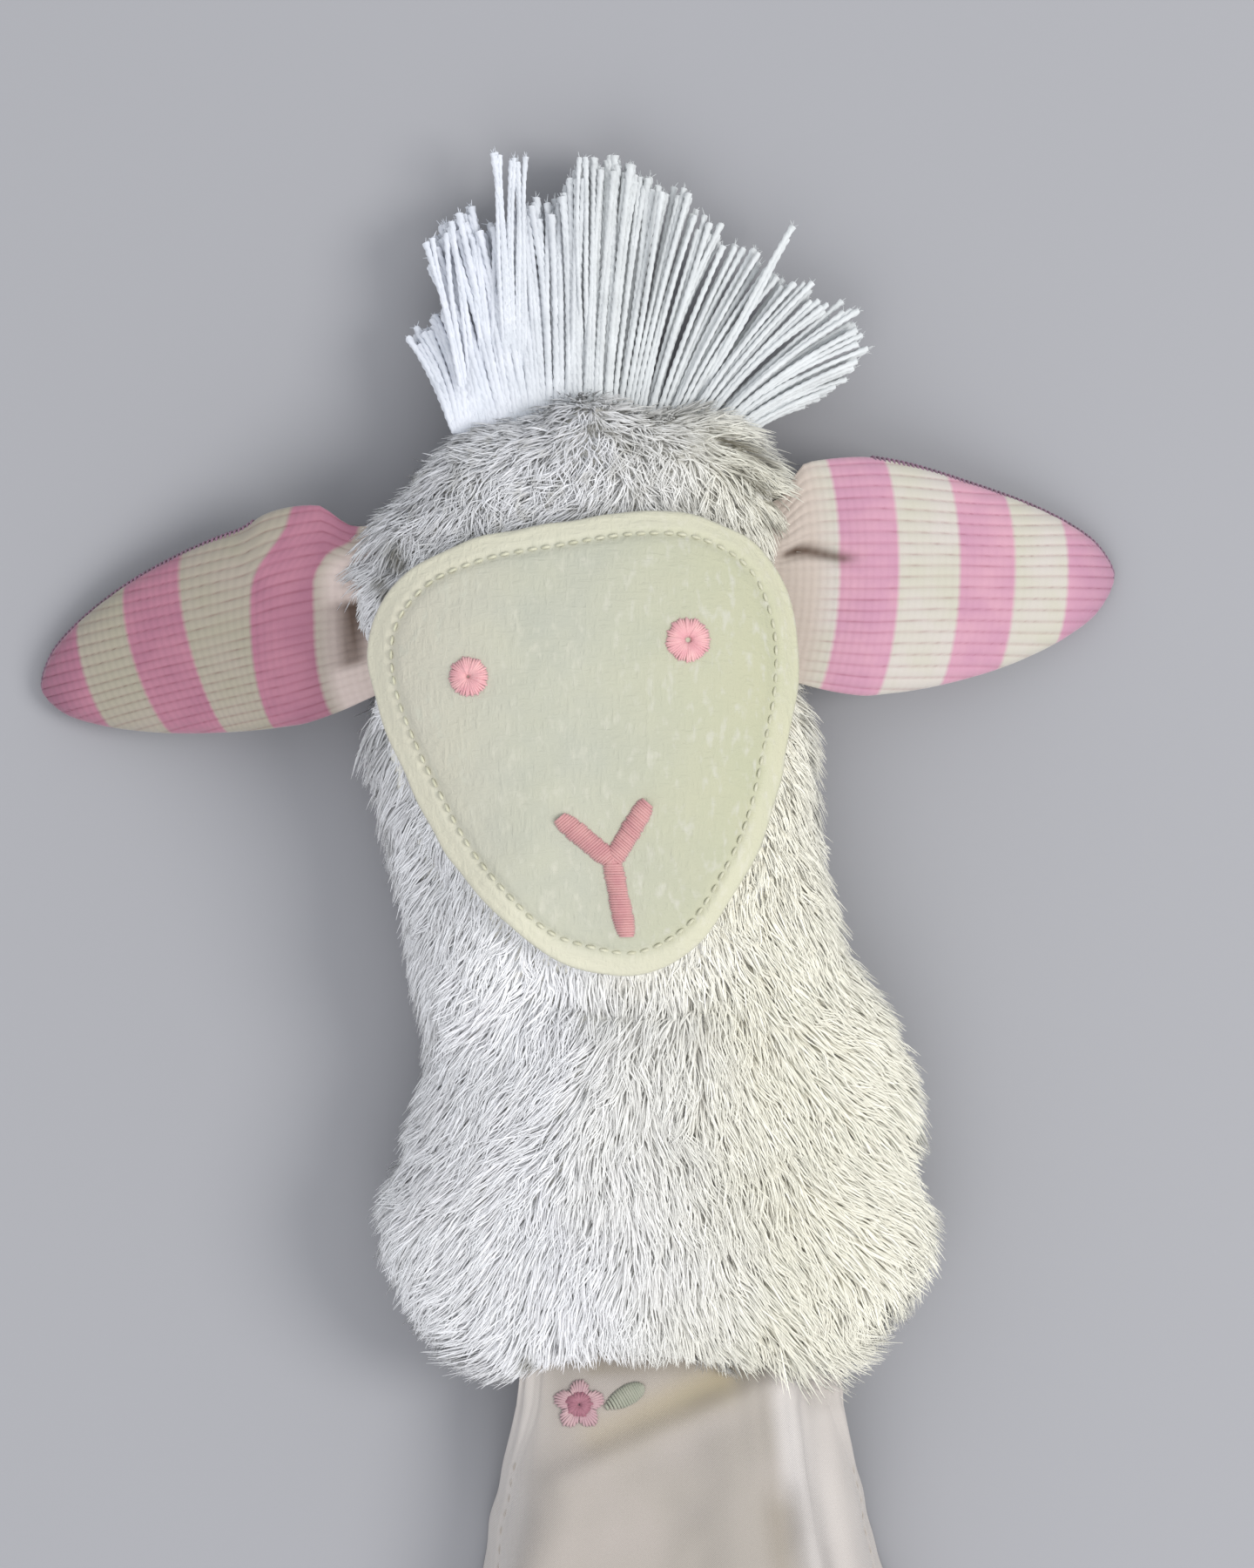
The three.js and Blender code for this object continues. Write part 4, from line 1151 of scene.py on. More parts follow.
NECK_EDGE = [(x * NECK_HALF_WIDTH, y * NECK_OVERRUN) for x, y in NECK_EDGE_SHARES]
TORSO = Pillow(
    polar_outline(with_mirror(
        [(x, NECK[1] + y) for x, y in NECK_EDGE]
        + [(lerp(NECK_HALF_WIDTH, TORSO_HALF_WIDTH, w), y * NECK[1]) for w, y in SHOULDER_SHARES]
        + [(lerp(TORSO_HEM_HALF_WIDTH, TORSO_HALF_WIDTH, w), -y * TORSO_HEM_LINE)
           for w, y in FLANK_SHARES]
        + [(x * TORSO_HEM_HALF_WIDTH, -TORSO_HEM_LINE) for x in HEM_SHARES]
    )),
    TORSO_FRONT_RISE, SEAM_HEIGHT + REST_CUT, -SEAM_HEIGHT,
)
HEAD = Pillow(
    polar_outline(with_mirror(
        [(x * HEAD_HALF_WIDTH, y * HEAD_CROWN_RISE) for x, y in CROWN_SHARES]
        + [(lerp(NECK_HALF_WIDTH, HEAD_HALF_WIDTH, w), -y * HEAD_NECK_DROP)
           for w, y in CHEEK_SHARES]
        + [(x, -(HEAD_NECK_DROP + y)) for x, y in NECK_EDGE[::-1]]
    )),
    HEAD_FRONT_RISE, SEAM_HEIGHT + REST_CUT, -SEAM_HEIGHT,
)
NECK_PAD = Pillow(polar_outline(NECK_PAD_POINTS), NECK_PAD_FRONT, NECK_PAD_BACK)
TORSO_PLACE = shifted(z=SEAM_HEIGHT)
HEAD_PLACE = shifted(*NECK) @ turned("z", HEAD_TILT) @ shifted(y=HEAD_NECK_DROP)
TO_HEAD = np.linalg.inv(HEAD_PLACE)
FACE_SHAPE = polar_outline(with_mirror(
    [(x * FACE_HALF_WIDTH, y * FACE_BROW_RISE) for x, y in BROW_SHARES]
    + [(x * FACE_HALF_WIDTH, -y * FACE_CHIN_DROP) for x, y in CHIN_SHARES]
))
HEAD_UP = unit(HEAD_PLACE[:3, 1])


def neck_share(points):
    """0 where a point goes with the torso and 1 where it goes with the head."""
    d = (points - NECK) @ HEAD_UP
    return np.clip((d + NECK_BLEND) / (2 * NECK_BLEND), 0, 1)


def face_outline(angle):
    """The face's reach by angle."""
    reach = FACE_SHAPE(angle)
    for way, spread, depth in FACE_DRAWN_IN:
        turn = (np.degrees(angle) - way + 180) % 360 - 180
        reach = reach - depth * np.exp(-((turn / spread) ** 2))
    return reach


def inside_face(points):
    """How far inside the felt's outline points lie; below 0 behind the seam."""
    local = moved(TO_HEAD, points)
    gap = face_outline(np.arctan2(local[:, 1], local[:, 0])) - np.hypot(local[:, 0], local[:, 1])
    return np.where(local[:, 2] > FACE_LEVEL, gap, -1.0)


def make_body_skin():
    """The backing of torso, neck and head in one, as it is sewn, before it is parted by body."""
    points, faces, count = [], [], 0
    for pillow, inset, place in (
        (TORSO, PILE_DEPTH, TORSO_PLACE),
        (HEAD, PILE_DEPTH, HEAD_PLACE),
        (NECK_PAD, 0, shifted(*NECK)),
    ):
        part, part_faces = loft(pillow.rings(inset, SKIN_SIDES, SKIN_STEPS))
        points.append(moved(place, part))
        faces += [f + count for f in part_faces]
        count += len(part)
    body = make("body_skin", np.vstack(points), faces, SKIN)
    remesh = body.modifiers.new("even", "REMESH")
    remesh.mode = "VOXEL"
    remesh.voxel_size = VOXEL * MM
    smooth = body.modifiers.new("soften", "SMOOTH")
    smooth.factor = SKIN_SOFTENING
    smooth.iterations = SKIN_SOFTENING_ROUNDS
    mesh = evaluated(body)
    points, normals = mesh_points(mesh), mesh_normals(mesh)
    lift = SKIN_LUMP * wobble(points, SKIN_LUMP_SIZE, 1)
    lift += (PILE_DEPTH - FELT_BED) * smoothstep(inside_face(points), *FELT_BED_SLOPE)
    for a, b, width, rise in SKIN_BUMPS:
        lift += rise * ridge(points, a, b, width)
    on_front = smoothstep(points[:, 2], SEAM_HEIGHT - SEAM_FADE, SEAM_HEIGHT + SEAM_FADE)
    for a, b, width in FUR_PARTINGS:
        lift -= PARTING_DEPTH * ridge(points, a, b, PARTING_SPREAD * width) * on_front
    points = points + normals * lift[:, None]
    points[:, 2] = np.maximum(points[:, 2], FLOOR_SKIM)
    mesh.vertices.foreach_set("co", (points * MM).astype(np.float32).ravel())
    mesh.update()
    return body


def part_of_skin(body, name, low, high):
    """The closed part of the body skin whose neck share lies from low to high."""
    mesh = body.data
    points = mesh_points(mesh)
    share = neck_share(points)
    loops = np.array([p.vertices[:] for p in mesh.polygons])
    middle = share[loops].mean(1)
    kept = loops[(middle >= low) & (middle <= high)]
    used, renumbered = np.unique(kept, return_inverse=True)
    return make(name, points[used], [renumbered.reshape(kept.shape)], SKIN)


# Fur

def comb(points, normals):
    """The way the pile lies at points, as unit vectors along the skin."""
    local = moved(TO_HEAD, points)
    x = points[:, 0]
    torso = np.stack([TORSO_FLARE * x / TORSO_HALF_WIDTH, -np.ones_like(x), 0 * x], -1)
    outwards = np.tanh(local[:, 0] / CHEEK_SPREAD)
    cheek = np.stack([CHEEK_FLARE * outwards, -np.ones_like(x), 0 * x], -1)
    parted = np.tanh((local[:, 0] - CROWN_PARTING) / CROWN_SPREAD)
    above = points[:, 2] - SEAM_HEIGHT + CROWN_OVER_LEVEL
    over = CROWN_OVER * np.tanh(above / CROWN_OVER_REACH)
    wander = CROWN_WANDER * wobble(points, 6, 13)
    crown = np.stack([parted + wander, -CROWN_FALL + 0 * x, over], -1)
    outline = HEAD.outline(np.arctan2(local[:, 1], local[:, 0]))
    rim = smoothstep(np.hypot(local[:, 0], local[:, 1]) / outline, *CROWN_EDGE_SHARES)[:, None]
    at_rim = np.stack([parted, -CROWN_EDGE_FALL + 0 * x, CROWN_EDGE_OVER * over], -1)
    crown = lerp(crown, at_rim, rim)
    on_crown = smoothstep(local[:, 1], *CROWN_START)[:, None]
    on_head = smoothstep((points - NECK) @ HEAD_UP, *HEAD_START)[:, None]
    flow = lerp(torso, lerp(cheek, crown, on_crown), on_head)
    for side in ("right", "left"):
        place = ear_place(JOINTS[f"ear_{side}_flop"])
        out, across, _ = moved(np.linalg.inv(place), points).T
        beside = smoothstep(out, *BY_EAR_START) * smoothstep(-np.abs(across), *BY_EAR_SIDES)
        flow = lerp(flow, place[:3, 0] + (0, -BY_EAR_FALL, 0), beside[:, None])
    swirl = sum(turn * wobble(points, size, seed) for turn, size, seed in SWIRLS)
    swirl *= 1 + on_crown[:, 0]
    c, s = np.cos(swirl), np.sin(swirl)
    x, y, z = flow.T
    flow = np.stack([c * x - s * y, s * x + c * y, z], -1)
    flow -= (flow * normals).sum(1, keepdims=True) * normals
    return unit(flow)


def on_surface(mesh, count):
    """count places spread over a mesh by area, with their normals."""
    mesh.calc_loop_triangles()
    corners = np.array([t.vertices[:] for t in mesh.loop_triangles])
    points, normals = mesh_points(mesh), mesh_normals(mesh)
    a, b, c = (points[corners[:, i]] for i in range(3))
    area = np.linalg.norm(np.cross(b - a, c - a), axis=1)
    pick = rng.choice(len(corners), count, p=area / area.sum())
    u, v = rng.random(count), rng.random(count)
    over = u + v > 1
    u, v = np.where(over, 1 - u, u), np.where(over, 1 - v, v)
    w = np.stack([1 - u - v, u, v], -1)[..., None]
    return (points[corners[pick]] * w).sum(1), unit((normals[corners[pick]] * w).sum(1))


def strand_paths(roots, normals, flow, length, lift, settle):
    """Curved paths that leave the skin at lift radians and end at settle radians above it."""
    s = np.linspace(0, 1, STRAND_STEPS)[None, :, None]
    first = np.cos(lift)[:, None] * flow + np.sin(lift)[:, None] * normals
    last = np.cos(settle)[:, None] * flow + np.sin(settle)[:, None] * normals
    bend = first[:, None] * (s - s**2 / 2) + last[:, None] * (s**2 / 2)
    return roots[:, None] + length[:, None, None] * bend


def make_strands(roots, normals, length, lift, scatter):
    """Strand paths that gather into locks towards their tips."""
    count = len(roots)
    flow = comb(roots, normals)
    stray = scatter * rng.normal(0, 1, count)
    sideways = np.cross(normals, flow)
    flow = np.cos(stray)[:, None] * flow + np.sin(stray)[:, None] * sideways
    length = length * rng.uniform(*PILE_LENGTH_SHARES, count)
    rise = lift + rng.normal(0, LIFT_SPREAD, count)
    paths = strand_paths(roots, normals, flow, length, rise, rise * SETTLED_SHARE)
    locks = rng.permutation(count)[: max(count // STRANDS_PER_LOCK, 1)]
    tree = KDTree(len(locks))
    for i, k in enumerate(locks):
        tree.insert(Vector(roots[k]), i)
    tree.balance()
    nearest = np.array([locks[tree.find(Vector(p))[1]] for p in roots])
    s = np.linspace(0, 1, STRAND_STEPS)[None, :, None]
    near = np.linalg.norm(roots - roots[nearest], axis=1) < LOCK_SPACING
    pull = np.where(near, rng.uniform(*LOCK_PULL_SHARES, count), 0)[:, None, None]
    paths = lerp(paths, paths[nearest], pull * s**LOCK_PULL_POWER)
    lowest = FLOOR_SKIM + FLOOR_SCATTER * rng.random((count, 1))
    paths[..., 2] = np.maximum(paths[..., 2], lowest)
    return paths


def make_fur(name, paths, skin_normals, body, blend=None):
    """Fur pieces of one body, each with a share of the strands."""
    pieces = math.ceil(len(paths) / STRANDS_PER_PIECE)
    for i in range(pieces):
        mine = paths[i::pieces]
        count = len(mine)
        width = STRAND_RADIUS * rng.uniform(*STRAND_WIDTHS, (count, 1)) * STRAND_TAPER
        reference = unit(rng.normal(0, 1, (count, 3)) + (0, 0, 0.6))
        points, faces = tubes(mine, width, STRAND_SIDES, reference=reference)
        along = np.repeat(np.tile(np.linspace(0, 1, STRAND_STEPS), count), STRAND_SIDES)
        # Painted shadow: strands on the front darkened along dark flecks where gaps in the pile fall in
        # shade
        flecks = np.max([dark * ridge(mine, a, b, w) for a, b, w, dark in FUR_PAINTED_SHADOWS], 0)
        tone_and_painted_shadow = rng.random((count, 1)) - 3 * np.where(mine[..., 2] > SEAM_HEIGHT, flecks, 0)
        tone_and_painted_shadow = np.repeat(tone_and_painted_shadow.ravel(), STRAND_SIDES)
        soft = np.repeat(skin_normals[i::pieces], STRAND_STEPS * STRAND_SIDES, 0)
        normals = softened_normals(points, mine, STRAND_SIDES, soft, SOFT_NORMALS)
        label = name if pieces == 1 else f"{name}_{i + 1}"
        fur = make(label, points, faces, FUR, {"along": along, "tone_and_painted_shadow": tone_and_painted_shadow},
                   tube_uv(count, STRAND_STEPS, STRAND_SIDES), normals)
        if blend:
            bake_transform(fur)
        else:
            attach(fur, body)


def by_ear(roots, depth, reach):
    """True for the skin within depth of an ear's hinge line and reach of its middle."""
    near = np.zeros(len(roots), bool)
    for side in ("right", "left"):
        local = moved(np.linalg.inv(ear_place(JOINTS[f"ear_{side}_flop"])), roots)
        out, y, z = local.T
        level = np.abs(z - BY_EAR_LEVEL) < BY_EAR_HALF_HEIGHT
        near |= (out > -depth) & (np.abs(y) < reach) & level
    return near


def neck_ends():
    """Where the neck's bend starts and ends, in metres."""
    return bend_ends(NECK - NECK_BLEND * HEAD_UP, NECK + NECK_BLEND * HEAD_UP)


def plush_strands(skin):
    """The pile's strands on the skin, with the normals and the neck share at their roots."""
    roots, normals = on_surface(skin, STRANDS)
    face_gap = inside_face(roots)
    kept = (face_gap < FELT_UNDERLAP) & ~by_ear(roots, EAR_ROOT_SEAM, EAR_BARE_REACH)
    roots, normals, face_gap = roots[kept], normals[kept], face_gap[kept]
    share = neck_share(roots)
    length = lerp(TORSO_PILE, HEAD_PILE, share)
    near_face = (face_gap > -FACE_SIDE_REACH) & (moved(TO_HEAD, roots)[:, 2] > FACE_LEVEL)
    length = np.where(near_face, FACE_SIDE_PILE, length)
    beside = by_ear(roots, EAR_SIDE_DEPTH, EAR_SIDE_REACH) & (roots[:, 0] > 0)
    length = np.where(beside, EAR_SIDE_PILE, length)
    length = length * (1 + sum(gain * ridge(roots, a, b, width) for a, b, width, gain in FUR_TUFTS))
    length = length * lerp(1, FELT_UNDERLAP_SHARE, smoothstep(face_gap, -1, 1))
    parted = np.max([ridge(roots, a, b, width) for a, b, width in FUR_PARTINGS], 0)
    kept = (rng.random(len(roots)) > parted) | (roots[:, 2] < SEAM_HEIGHT)
    roots, normals, share, length, near_face = (
        each[kept] for each in (roots, normals, share, length, near_face))
    on_crown = smoothstep(moved(TO_HEAD, roots)[:, 1], *CROWN_TOP_START)
    top_edge = on_crown * smoothstep(normals @ HEAD_UP, *CROWN_TOP_SLOPES)
    lift = np.where(near_face, FACE_SIDE_LIFT, PILE_LIFT) + LIFT_UNEVENNESS * wobble(roots, 8, 3)
    lift = lerp(lift, CROWN_EDGE_LIFT, top_edge)
    length = lerp(length, CROWN_EDGE_PILE, top_edge)
    paths = make_strands(roots, normals, length, lift, lerp(PILE_SCATTER, CROWN_SCATTER, on_crown))
    return paths, normals, share


def make_plush():
    """The backing of torso, neck and head, and the pile on each."""
    body = make_body_skin()
    paths, normals, share = plush_strands(body.data)
    torso = part_of_skin(body, "torso_skin", 0, NECK_PART_SHARE)
    neck = part_of_skin(body, "neck_skin", NECK_PART_SHARE, 1 - NECK_PART_SHARE)
    head = part_of_skin(body, "head_skin", 1 - NECK_PART_SHARE, 1)
    bpy.data.objects.remove(body)
    start, end = neck_ends()
    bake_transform(neck)
    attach(torso, "torso")
    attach(head, "head")
    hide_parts("torso_front_plush", "torso_back_plush", "torso_filling")
    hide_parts("head_front_plush", "head_back_plush", "head_filling")
    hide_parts("neck_plush")

    on_neck = (share > 0) & (share < 1)
    for name, mine, body, blend in (
        ("torso_fur", share <= 0, "torso", None),
        ("head_fur", share >= 1, "head", None),
        ("neck_fur", on_neck, None, ("torso", "head", start, end)),
    ):
        make_fur(name, paths[mine], normals[mine], body, blend)


# Felt face

def felt_edge(angle):
    """The felt's reach by angle, cut a little inside its outline."""
    return face_outline(angle) - FELT_TRIM


def on_felt(x, y, rise):
    """The place rise above the felt. x and y are from the head's middle, along its own axes."""
    local = HEAD.above(x, y, -(FELT_LIFT + FELT_THICKNESS))
    edge = felt_edge(np.arctan2(y, x)) - np.hypot(x, y)
    local[..., 2] += rise + felt_relief(edge)
    return moved(HEAD_PLACE, local)


def felt_relief(edge):
    """How the stitched felt dips, by the distance in from its edge."""
    groove = -TOPSTITCH_GROOVE * np.exp(-(((edge - TOPSTITCH_INSET) / TOPSTITCH_GROOVE_WIDTH) ** 2))
    rim = -FELT_EDGE_DROP * smoothstep(-edge, -TOPSTITCH_INSET, 0.2)
    return groove + rim


def make_felt():
    """The cut felt: its face, its rounded rim and its back."""
    angle = 2 * np.pi * np.arange(FELT_SIDES) / FELT_SIDES
    shares = np.concatenate([np.linspace(*FELT_INNER_SHARES, FELT_STEPS - FELT_EDGE_STEPS),
                             np.linspace(*FELT_OUTER_SHARES, FELT_EDGE_STEPS)])
    edge = felt_edge(angle) + FELT_EDGE_UNEVENNESS * wobble(
        np.stack([np.cos(angle), np.sin(angle)], -1) * FACE_HALF_WIDTH, 5, 4)
    top, bottom = [], []
    for share in shares:
        x, y = edge * share * np.cos(angle), edge * share * np.sin(angle)
        top.append(on_felt(x, y, FELT_UNEVENNESS * wobble(np.stack([x, y], -1), 3.1, 6)))
        bottom.append(on_felt(x, y, -FELT_THICKNESS))
    turned_angle = angle + math.radians(HEAD_TILT)
    outwards = np.stack([np.cos(turned_angle), np.sin(turned_angle), 0 * angle], -1)
    rim = [lerp(top[-1], bottom[-1], t) + 0.5 * FELT_THICKNESS * math.sin(math.pi * t) * outwards
           for t in (0.2, 0.5, 0.8)]
    points, faces = loft(np.array(top + rim + bottom[::-1]))
    inset = edge * (1 - shares[:, None])
    # Painted light on the rim, as a share kept in the rim value
    painted_light = 1 - smoothstep(inset, *FELT_PAINTED_LIGHT_RIM)
    painted_light = np.concatenate([painted_light, np.ones((len(rim) + FELT_STEPS, FELT_SIDES))])
    return make("face_felt", points, faces, FELT, {"rim": painted_light.ravel()})


def make_face():
    """The felt with all that is stitched on it, riding on the head."""
    pieces = [(make_felt(), "face_felt", "face_panel"),
              (make_topstitch(), "face_thread", "face_topstitch")]
    pieces += [(make_eye(name, *eye), "embroidery", name) for name, eye in EYES.items()]
    pieces.append((make_nose(), "embroidery", "nose_mouth"))
    for piece, slot, node in pieces:
        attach(piece, "head")
        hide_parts(node)


def make_topstitch():
    """Separate stitches along the felt's edge, each sunk into it at both ends."""
    angle = np.linspace(0, 2 * np.pi, FACE_CURVE_STEPS)
    reach = felt_edge(angle) - TOPSTITCH_INSET
    edge = np.stack([reach * np.cos(angle), reach * np.sin(angle)], -1)
    run = run_along(edge)
    count = int(run[-1] / (TOPSTITCH_LENGTH + TOPSTITCH_GAP))
    starts = run[-1] * np.arange(count) / count + rng.uniform(-STITCH_JITTER, STITCH_JITTER, count)
    s = np.linspace(0, 1, STITCH_STEPS)
    at = (starts[:, None] + TOPSTITCH_LENGTH * s) % run[-1]
    rise = TOPSTITCH_RISE * np.sin(np.pi * s) ** 0.6 - STITCH_SINK + 0 * at
    x, y = np.moveaxis(at_places(at, run, edge), -1, 0)
    paths = on_felt(x, y, rise)
    radii = TOPSTITCH_RADIUS * (0.7 + 0.3 * np.sin(np.pi * s))
    return make_threads("face_topstitches", paths, radii, STITCH_SIDES, CREAM_THREAD)


def satin(name, starts, ends, rise, material, place):
    """Embroidery threads laid side by side from starts to ends, crowned over a padding."""
    starts, ends = np.array(starts), np.array(ends)
    s = np.linspace(0, 1, SATIN_STEPS)
    flat = lerp(starts[:, None], ends[:, None], s[None, :, None])
    height = rise * np.sin(np.pi * s) ** SATIN_ROUNDNESS
    height = height * rng.uniform(*SATIN_RISES, (len(starts), 1)) - STITCH_SINK
    paths = place(flat[..., 0], flat[..., 1], height)
    radii = THREAD_RADIUS * rng.uniform(*SATIN_WIDTHS, (len(starts), 1))
    return make_threads(name, paths, radii, STITCH_SIDES, material)


def make_eye(name, x, y, radius, hole):
    """A ring of threads from a small hole outwards."""
    count = round(2 * np.pi * radius * 0.9 / EYE_THREAD_PITCH)
    jitter = rng.uniform(-STITCH_JITTER, STITCH_JITTER, count)
    angle = 2 * np.pi * (np.arange(count) + jitter) / count
    out = np.stack([np.cos(angle), np.sin(angle)], -1)
    reach = radius * rng.uniform(0.95, 1.05, (count, 1))
    middle = np.array([x, y])
    return satin(name + "_stitches", middle + hole * out, middle + reach * out,
                 EMBROIDERY_RISE, EYE_THREAD, on_felt)


def stroke_threads(start, end, half_width):
    """The two ends of threads laid across a stroke."""
    a, b = np.array(start, float), np.array(end, float)
    along = b - a
    length = np.linalg.norm(along)
    count = round(length / NOSE_THREAD_PITCH)
    share = (np.arange(count) + 0.5) / count
    slant = np.array([-along[1], along[0]]) / length + NOSE_SLANT * along / length
    middle = a + share[:, None] * along
    end_round = np.sqrt(1 - 0.75 * np.abs(2 * share - 1) ** 8)[:, None]
    width = half_width * end_round * rng.uniform(0.93, 1.07, (count, 1))
    return middle - slant * width, middle + slant * width


def make_nose():
    """The nose and mouth: two arms that meet and a foot, in satin stitch."""
    strokes = [
        stroke_threads((side * NOSE_ARM[0], NOSE_ARM[1]), NOSE_FORK, NOSE_HALF_WIDTH)
        for side in (-1, 1)
    ]
    strokes.append(stroke_threads(NOSE_FORK, NOSE_FOOT, NOSE_HALF_WIDTH))
    starts, ends = (np.vstack([s[i] for s in strokes]) for i in (0, 1))
    return satin("nose_mouth_stitches", starts, ends, EMBROIDERY_RISE, NOSE_THREAD, on_felt)


# Ears

EAR_REACH = EAR_LENGTH + EAR_SETBACK
EAR_MIDDLE = EAR_REACH / 2 - EAR_SETBACK
EAR_OUTLINE_POINTS = [(x * EAR_REACH, y * EAR_HALF_WIDTH) for x, y in EAR_HALF_SHARES]


def ear_place(joint):
    """The ear's frame: x out of the root, z out of its front, its origin on the hinge line."""
    axis = np.array(joint["axis"])
    place = np.eye(4)
    place[:3, 1] = -axis
    place[:3, 0] = np.cross(-axis, (0, 0, 1))
    place[:3, 3] = np.array(joint["pos_m"]) / MM
    return place @ turned("y", EAR_DROOP)


def root_sweep(x):
    """0 out on the ear and 1 at its root."""
    return smoothstep(-x, EAR_REACH / 2 - EAR_ROOT_RUN, EAR_REACH / 2)


def ear_shoulder(side, stations):
    """How much wider the ear's upper half is near its root."""
    near, root, gain = EAR_SHOULDERS[side]
    return 1 + gain * smoothstep(-stations, near, root)


def ear_sag(side, x):
    """How far the ear hangs down towards its tip."""
    return EAR_SAG[side] * np.clip((x + EAR_MIDDLE) / EAR_LENGTH, 0, 1) ** 2


def ear_stations():
    """Places along the ear, closer together at its tip."""
    to_tip = 1 - np.sin(np.linspace(0.1, 1, EAR_TIP_STEPS) * np.pi / 2)
    stations = np.concatenate([
        np.linspace(-EAR_REACH / 2, EAR_REACH / 2 - EAR_TIP_LENGTH, EAR_STEPS),
        EAR_REACH / 2 - EAR_TIP_LENGTH * to_tip,
    ])
    stations[-1] -= EAR_TIP_CLEARANCE
    return stations


def ear_half_widths(stations):
    """The plain ear's half widths; it stays wide at its root, where it is sewn in."""
    loop = catmull(with_mirror(EAR_OUTLINE_POINTS, (1, -1)), EAR_CURVE_STEPS, closed=True)
    curve = loop[loop[:, 1] >= 0]
    order = np.argsort(curve[:, 0])
    half = np.interp(stations, curve[order, 0], curve[order, 1])
    sewn = EAR_SEWN_SHARE * EAR_REACH
    widths = [share * EAR_HALF_WIDTH for share in EAR_SEWN_WIDTH_SHARES]
    return np.where(stations < sewn, np.interp(stations, [-EAR_REACH / 2, sewn], widths), half)


def wrapped(front, back):
    """Rows that run along the front and home along the back."""
    return np.concatenate([front[:, :-1], back[:, :0:-1]], 1)


def ear_rings(side, stations, half):
    """Rings round the plain ear, with its ribs and creases, and the ribs and the creases' painted shade
    as values.
    """
    t = np.linspace(-1, 1, EAR_COLUMNS)
    rho = 1 - (1 - np.abs(t)) ** 1.25
    y = half[:, None] * np.sign(t) * rho
    x = stations[:, None] + 0 * y
    flat = np.stack([x, y], -1)
    tip = np.clip((x - EAR_TAPER_START_SHARE * EAR_REACH) / (EAR_TAPER_SHARE * EAR_REACH), 0, 1)
    crown = EAR_RISE * (1 - rho**FULLNESS) ** 0.5 * np.sqrt(np.clip(1 - 0.96 * tip**2.6, 0, 1))
    crown = crown * lerp(1, EAR_ROOT_RISE_SHARE, root_sweep(x))
    phase = y / RIB_PITCH + 0.12 * wobble(flat, 9, 7)
    rib = np.sqrt(np.clip(1 - (2 * (phase % 1) - 1) ** 2, 0, 1))
    relief = RIB_DEPTH * (rib - 1) * np.sqrt(1 - 0.7 * rho**6)
    soft = 0.5 * wobble(flat, 12, EAR_SOFT_SEEDS[side])
    creases = EAR_CREASES[side]
    fold = sum(rise * ridge(flat, a, b, w, CREASE_FADE) for a, b, w, rise in creases) * (1 - rho**4)
    # Painted shade along the creases, as a share
    crease_painted_shade = np.max([ridge(flat, a, b, CREASE_SHADE_WIDTH * w, CREASE_SHADE_FADE)
                     for a, b, w, _ in creases], 0)
    front = crown * (1 + 0.12 * soft) + relief + fold
    back = -(crown * (1 - 0.1 * soft) + relief) + fold
    rings = wrapped(np.stack([x, y, front], -1), np.stack([x, y, back], -1))
    return rings, wrapped(rib, rib), wrapped(crease_painted_shade, 0 * crease_painted_shade)


def stripe_distance(side, up, rings):
    """How far out from the root the knit's rows are, which lean and bow as the stripes do."""
    x, y = rings[..., 0], rings[..., 1]
    leans = np.array(STRIPE_LEANS[side])
    lean = np.interp(x + EAR_MIDDLE, leans[:, 0], leans[:, 1]) * up * y
    near_top = smoothstep(up * y, *STRIPE_TOP_RISE) * smoothstep(-x, *STRIPE_TOP_RUN)
    out = x + EAR_MIDDLE + STRIPE_BOW * y**2 - lean
    return out + STRIPE_TOP_SHIFTS[side] * near_top - EAR_ROOT_REACH * root_sweep(x)


def sewn_in(side, up, stations, rings):
    """The rings with their root pushed into the head, and each edge drawn to its own shape."""
    x, y, z = np.moveaxis(rings, -1, 0)
    sweep = root_sweep(x)
    x = x - EAR_ROOT_REACH * sweep
    y = y * (1 - EAR_ROOT_PINCH * sweep)
    z = z + EAR_ROOT_LIFT * sweep
    notch = 1 - EAR_TOP_NOTCH[side] * smoothstep(sweep, *EAR_NOTCH_SWEEP)
    upper = ear_shoulder(side, stations)[:, None] * notch
    lower = lerp(EAR_LOW_SHARE[side], EAR_LOW_ROOT_SHARE[side], sweep)
    y = y * np.where(up * y < 0, lower, upper) - up * ear_sag(side, x)
    return np.stack([x, y, z], -1)


def make_ear(side):
    """One stuffed ear in ribbed knit, and the seam along its upper edge."""
    place = ear_place(JOINTS[f"ear_{side}_flop"])
    up = 1 if place[1, 1] > 0 else -1
    stations = ear_stations()
    half = ear_half_widths(stations)
    rings, rib, crease_painted_shade = ear_rings(side, stations, half)
    values = {"out": stripe_distance(side, up, rings), "rib": rib, "crease_painted_shade": crease_painted_shade}
    rings = sewn_in(side, up, stations, rings)
    points, faces = loft(moved(place, rings + (EAR_MIDDLE, 0, 0)))
    ear = make(f"ear_{side}_knit", points, faces, KNITS[side], values)
    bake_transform(ear)
    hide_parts(f"ear_{side}_front_knit", f"ear_{side}_back_knit", f"ear_{side}_filling")

    free = stations > EAR_ROOT_RUN - EAR_REACH / 2
    seam = make_ear_seam(side, place, up, stations[free], half[free])
    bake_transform(seam)


